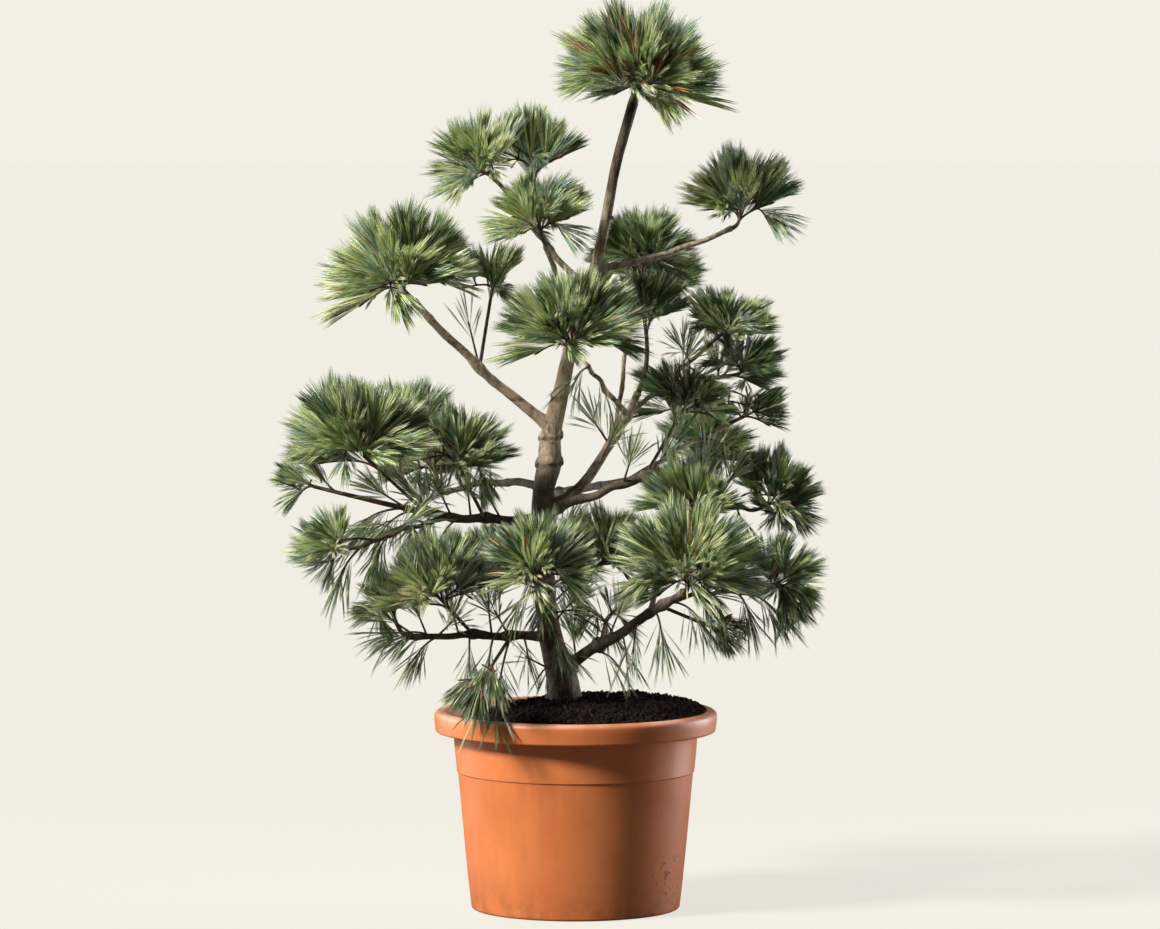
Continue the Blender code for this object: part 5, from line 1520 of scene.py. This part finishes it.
def needle_bundle(needles):
    """Five pointed needles from one root, a unit long, that splay apart as they run out."""
    rng = np.random.default_rng(NEEDLE_SEED)
    typical = NEEDLE_SHARE * float(np.mean([mass.reach for mass in MASSES]))
    half = needles.width / 2 / typical
    corners = []
    faces = []
    far = []
    pale = []
    for number in range(5):
        turn = 2 * math.pi * (number + rng.uniform(-0.2, 0.2)) / 5
        angle = needles.splay * rng.uniform(0.55, 1.25)
        out = np.array([math.cos(turn), math.sin(turn), 0.0])
        length = rng.uniform(0.84, 1.0)
        tip = length * (math.cos(angle) * np.array([0, 0, 1]) + math.sin(angle) * out)
        waist = NEEDLE_SHOULDER * tip + 0.4 * half * out
        side = np.cross(out, (0, 0, 1))
        start = len(corners)
        ring = [waist + half * (math.cos(way) * out + math.sin(way) * side) for way in (0.0, 2.094, 4.189)]
        corners += [half * 0.8 * out, *ring, tip]
        far += [0.0, *[NEEDLE_SHOULDER] * 3, 1.0]
        for index in range(3):
            one = start + 1 + index
            two = start + 1 + (index + 1) % 3
            faces += [(start, one, two), (start + 4, two, one)]
            pale += [index == 1] * 2
    made = hidden_shape("bundle", corners, faces)
    mesh = made.data
    centre = np.mean([corners[index] for index in (1, 2, 3)], axis=0)
    outward = np.dot(np.array(mesh.polygons[0].normal), np.array(mesh.polygons[0].center) - centre)
    if outward < 0:
        mesh.flip_normals()
    mesh.attributes.new("out", "FLOAT", "POINT").data.foreach_set("value", far)
    mesh.attributes.new("pale", "BOOLEAN", "FACE").data.foreach_set("value", pale)
    return made


class PINE_OT_needles(bpy.types.Operator):
    """Stands bundles of five needles on every shoot and deals their tints out by spray"""

    bl_idname = "pine.needles"
    bl_label = "Needles"

    def execute(self, context):
        needles = context.scene.pine_needles
        sprays = growth()[3]
        tree = needle_nodes()
        bundle = needle_bundle(needles)
        values = {"Bundle": bundle, "Droop": needles.droop, "Seed": NEEDLE_SEED}
        for tint in (*TINTS, "bands"):
            values[tint] = self.tint(f"needles {tint}", getattr(needles, tint))
        for quarter, names in QUARTERS.items():
            nodes = [f"foliage_{name}" for name in names]
            group = [spray for name in nodes for spray in sprays[name]]
            mesh = bpy.data.meshes.new(f"roots_{quarter}")
            roots = np.vstack([spray.roots for spray in group])
            mesh.vertices.add(len(roots))
            mesh.vertices.foreach_set("co", roots.ravel())
            aims = np.vstack([spray.aims for spray in group])
            lengths = np.concatenate([spray.lengths for spray in group])
            slims = np.concatenate([spray.slims for spray in group])
            tints = np.concatenate([spray.tints for spray in group])
            mesh.attributes.new("aim", "FLOAT_VECTOR", "POINT").data.foreach_set("vector", aims.ravel())
            mesh.attributes.new("reach", "FLOAT", "POINT").data.foreach_set("value", lengths)
            mesh.attributes.new("slim", "FLOAT", "POINT").data.foreach_set("value", slims)
            mesh.attributes.new("tint", "INT", "POINT").data.foreach_set("value", tints.astype(np.int32))
            held = bpy.data.objects.new(f"roots_{quarter}", mesh)
            context.scene.collection.objects.link(held)
            grown_by(f"needles_{quarter}", held, tree, values, nodes)
        bpy.data.objects.remove(bundle, do_unlink=True)
        return {"FINISHED"}

    def tint(self, name, colour):
        made = bpy.data.materials.new(name)
        made.use_nodes = True
        shader = made.node_tree.nodes["Principled BSDF"]
        shader.inputs["Base Color"].default_value = (*colour, 1.0)
        shader.inputs["Roughness"].default_value = 0.34
        shader.inputs["Specular IOR Level"].default_value = 0.5
        return made


class PINE_OT_stage(bpy.types.Operator):
    """Sets up the pale floor, the light and the camera"""

    bl_idname = "pine.stage"
    bl_label = "Stage"

    def execute(self, context):
        wanted = context.scene.pine_stage
        bpy.ops.mesh.primitive_plane_add(size=120.0, location=(0.0, 0.0, -0.0004))
        floor = context.object
        floor.name = "floor"
        paint = bpy.data.materials.new("paper")
        paint.use_nodes = True
        shader = paint.node_tree.nodes["Principled BSDF"]
        shader.inputs["Base Color"].default_value = (*toned(wanted.paper, 0.14), 1.0)
        shader.inputs["Roughness"].default_value = 1.0
        shader.inputs["Specular IOR Level"].default_value = 0.0
        shader.inputs["Emission Color"].default_value = (*wanted.paper, 1.0)
        tree = paint.node_tree
        seen = wired(tree, "ShaderNodeLightPath").outputs["Is Camera Ray"]
        tree.links.new(math_of(tree, "MULTIPLY", seen, wanted.floor_glow), shader.inputs["Emission Strength"])
        floor.data.materials.append(paint)
        lamp = bpy.data.lights.new("key", "SUN")
        lamp.energy = wanted.key_strength
        lamp.angle = math.radians(14)
        lamp.color = (1.0, 0.96, 0.90)
        key = bpy.data.objects.new("key", lamp)
        key.rotation_euler = (math.pi / 2 - wanted.key_height, 0.0, -wanted.key_heading)
        context.scene.collection.objects.link(key)
        for side, power in ((-1, wanted.left_strip), (1, wanted.right_strip)):
            strip = bpy.data.lights.new("strip", "AREA")
            strip.shape = "RECTANGLE"
            strip.size = 0.9
            strip.size_y = 2.6
            strip.spread = math.radians(60)
            strip.energy = power
            held = bpy.data.objects.new("strip", strip)
            held.location = (side * 2.4, 1.3, 1.1)
            held.rotation_euler = (math.pi / 2, 0.0, side * math.radians(118))
            context.scene.collection.objects.link(held)
        self.sky(context, wanted)
        view = bpy.data.cameras.new("camera")
        view.lens = wanted.lens
        view.sensor_width = 36.0
        eye = bpy.data.objects.new("camera", view)
        eye.location = (wanted.camera_side, -wanted.camera_distance, wanted.camera_height)
        eye.rotation_euler = (math.pi / 2 - wanted.camera_dip, 0.0, 0.0)
        context.scene.collection.objects.link(eye)
        context.scene.camera = eye
        context.scene.view_settings.view_transform = "Standard"
        return {"FINISHED"}

    def sky(self, context, wanted):
        """Even light from all round, and a backdrop that the lit floor runs into."""
        world = bpy.data.worlds.new("studio")
        world.use_nodes = True
        tree = world.node_tree
        light = tree.nodes["Background"]
        light.inputs["Color"].default_value = (0.90, 0.94, 1.0, 1.0)
        light.inputs["Strength"].default_value = wanted.sky_strength
        backdrop = wired(tree, "ShaderNodeBackground", {"Color": (*wanted.paper, 1.0), "Strength": 1.02})
        seen = wired(tree, "ShaderNodeLightPath").outputs["Is Camera Ray"]
        both = wired(tree, "ShaderNodeMixShader", {0: seen, 1: light.outputs[0], 2: backdrop.outputs[0]})
        tree.links.new(both.outputs[0], tree.nodes["World Output"].inputs["Surface"])
        context.scene.world = world


OPERATORS = (PINE_OT_pot, PINE_OT_soil, PINE_OT_limbs, PINE_OT_twigs, PINE_OT_needles, PINE_OT_stage)
GROUPS = {
    "pine_pot": PotSettings,
    "pine_soil": SoilSettings,
    "pine_bark": BarkSettings,
    "pine_needles": NeedleSettings,
    "pine_stage": StageSettings,
}


class PINE_PT_panel(bpy.types.Panel):
    bl_idname = "PINE_PT_panel"
    bl_label = "White pine bonsai"
    bl_space_type = "VIEW_3D"
    bl_region_type = "UI"
    bl_category = "Pine"

    def draw(self, context):
        for name, group in GROUPS.items():
            for setting in group.__annotations__:
                self.layout.prop(getattr(context.scene, name), setting)
        for operator in OPERATORS:
            self.layout.operator(operator.bl_idname)


def register():
    for each in (*GROUPS.values(), *OPERATORS, PINE_PT_panel):
        bpy.utils.register_class(each)
    for name, group in GROUPS.items():
        setattr(bpy.types.Scene, name, PointerProperty(type=group))


def unregister():
    for name in GROUPS:
        delattr(bpy.types.Scene, name)
    for each in reversed((*GROUPS.values(), *OPERATORS, PINE_PT_panel)):
        bpy.utils.unregister_class(each)


def main():
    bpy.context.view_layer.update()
    register()
    bpy.ops.pine.pot()
    bpy.ops.pine.soil()
    bpy.ops.pine.limbs()
    bpy.ops.pine.twigs()
    bpy.ops.pine.needles()
    bpy.ops.pine.stage()
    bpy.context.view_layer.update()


if __name__ == "__main__":
    main()
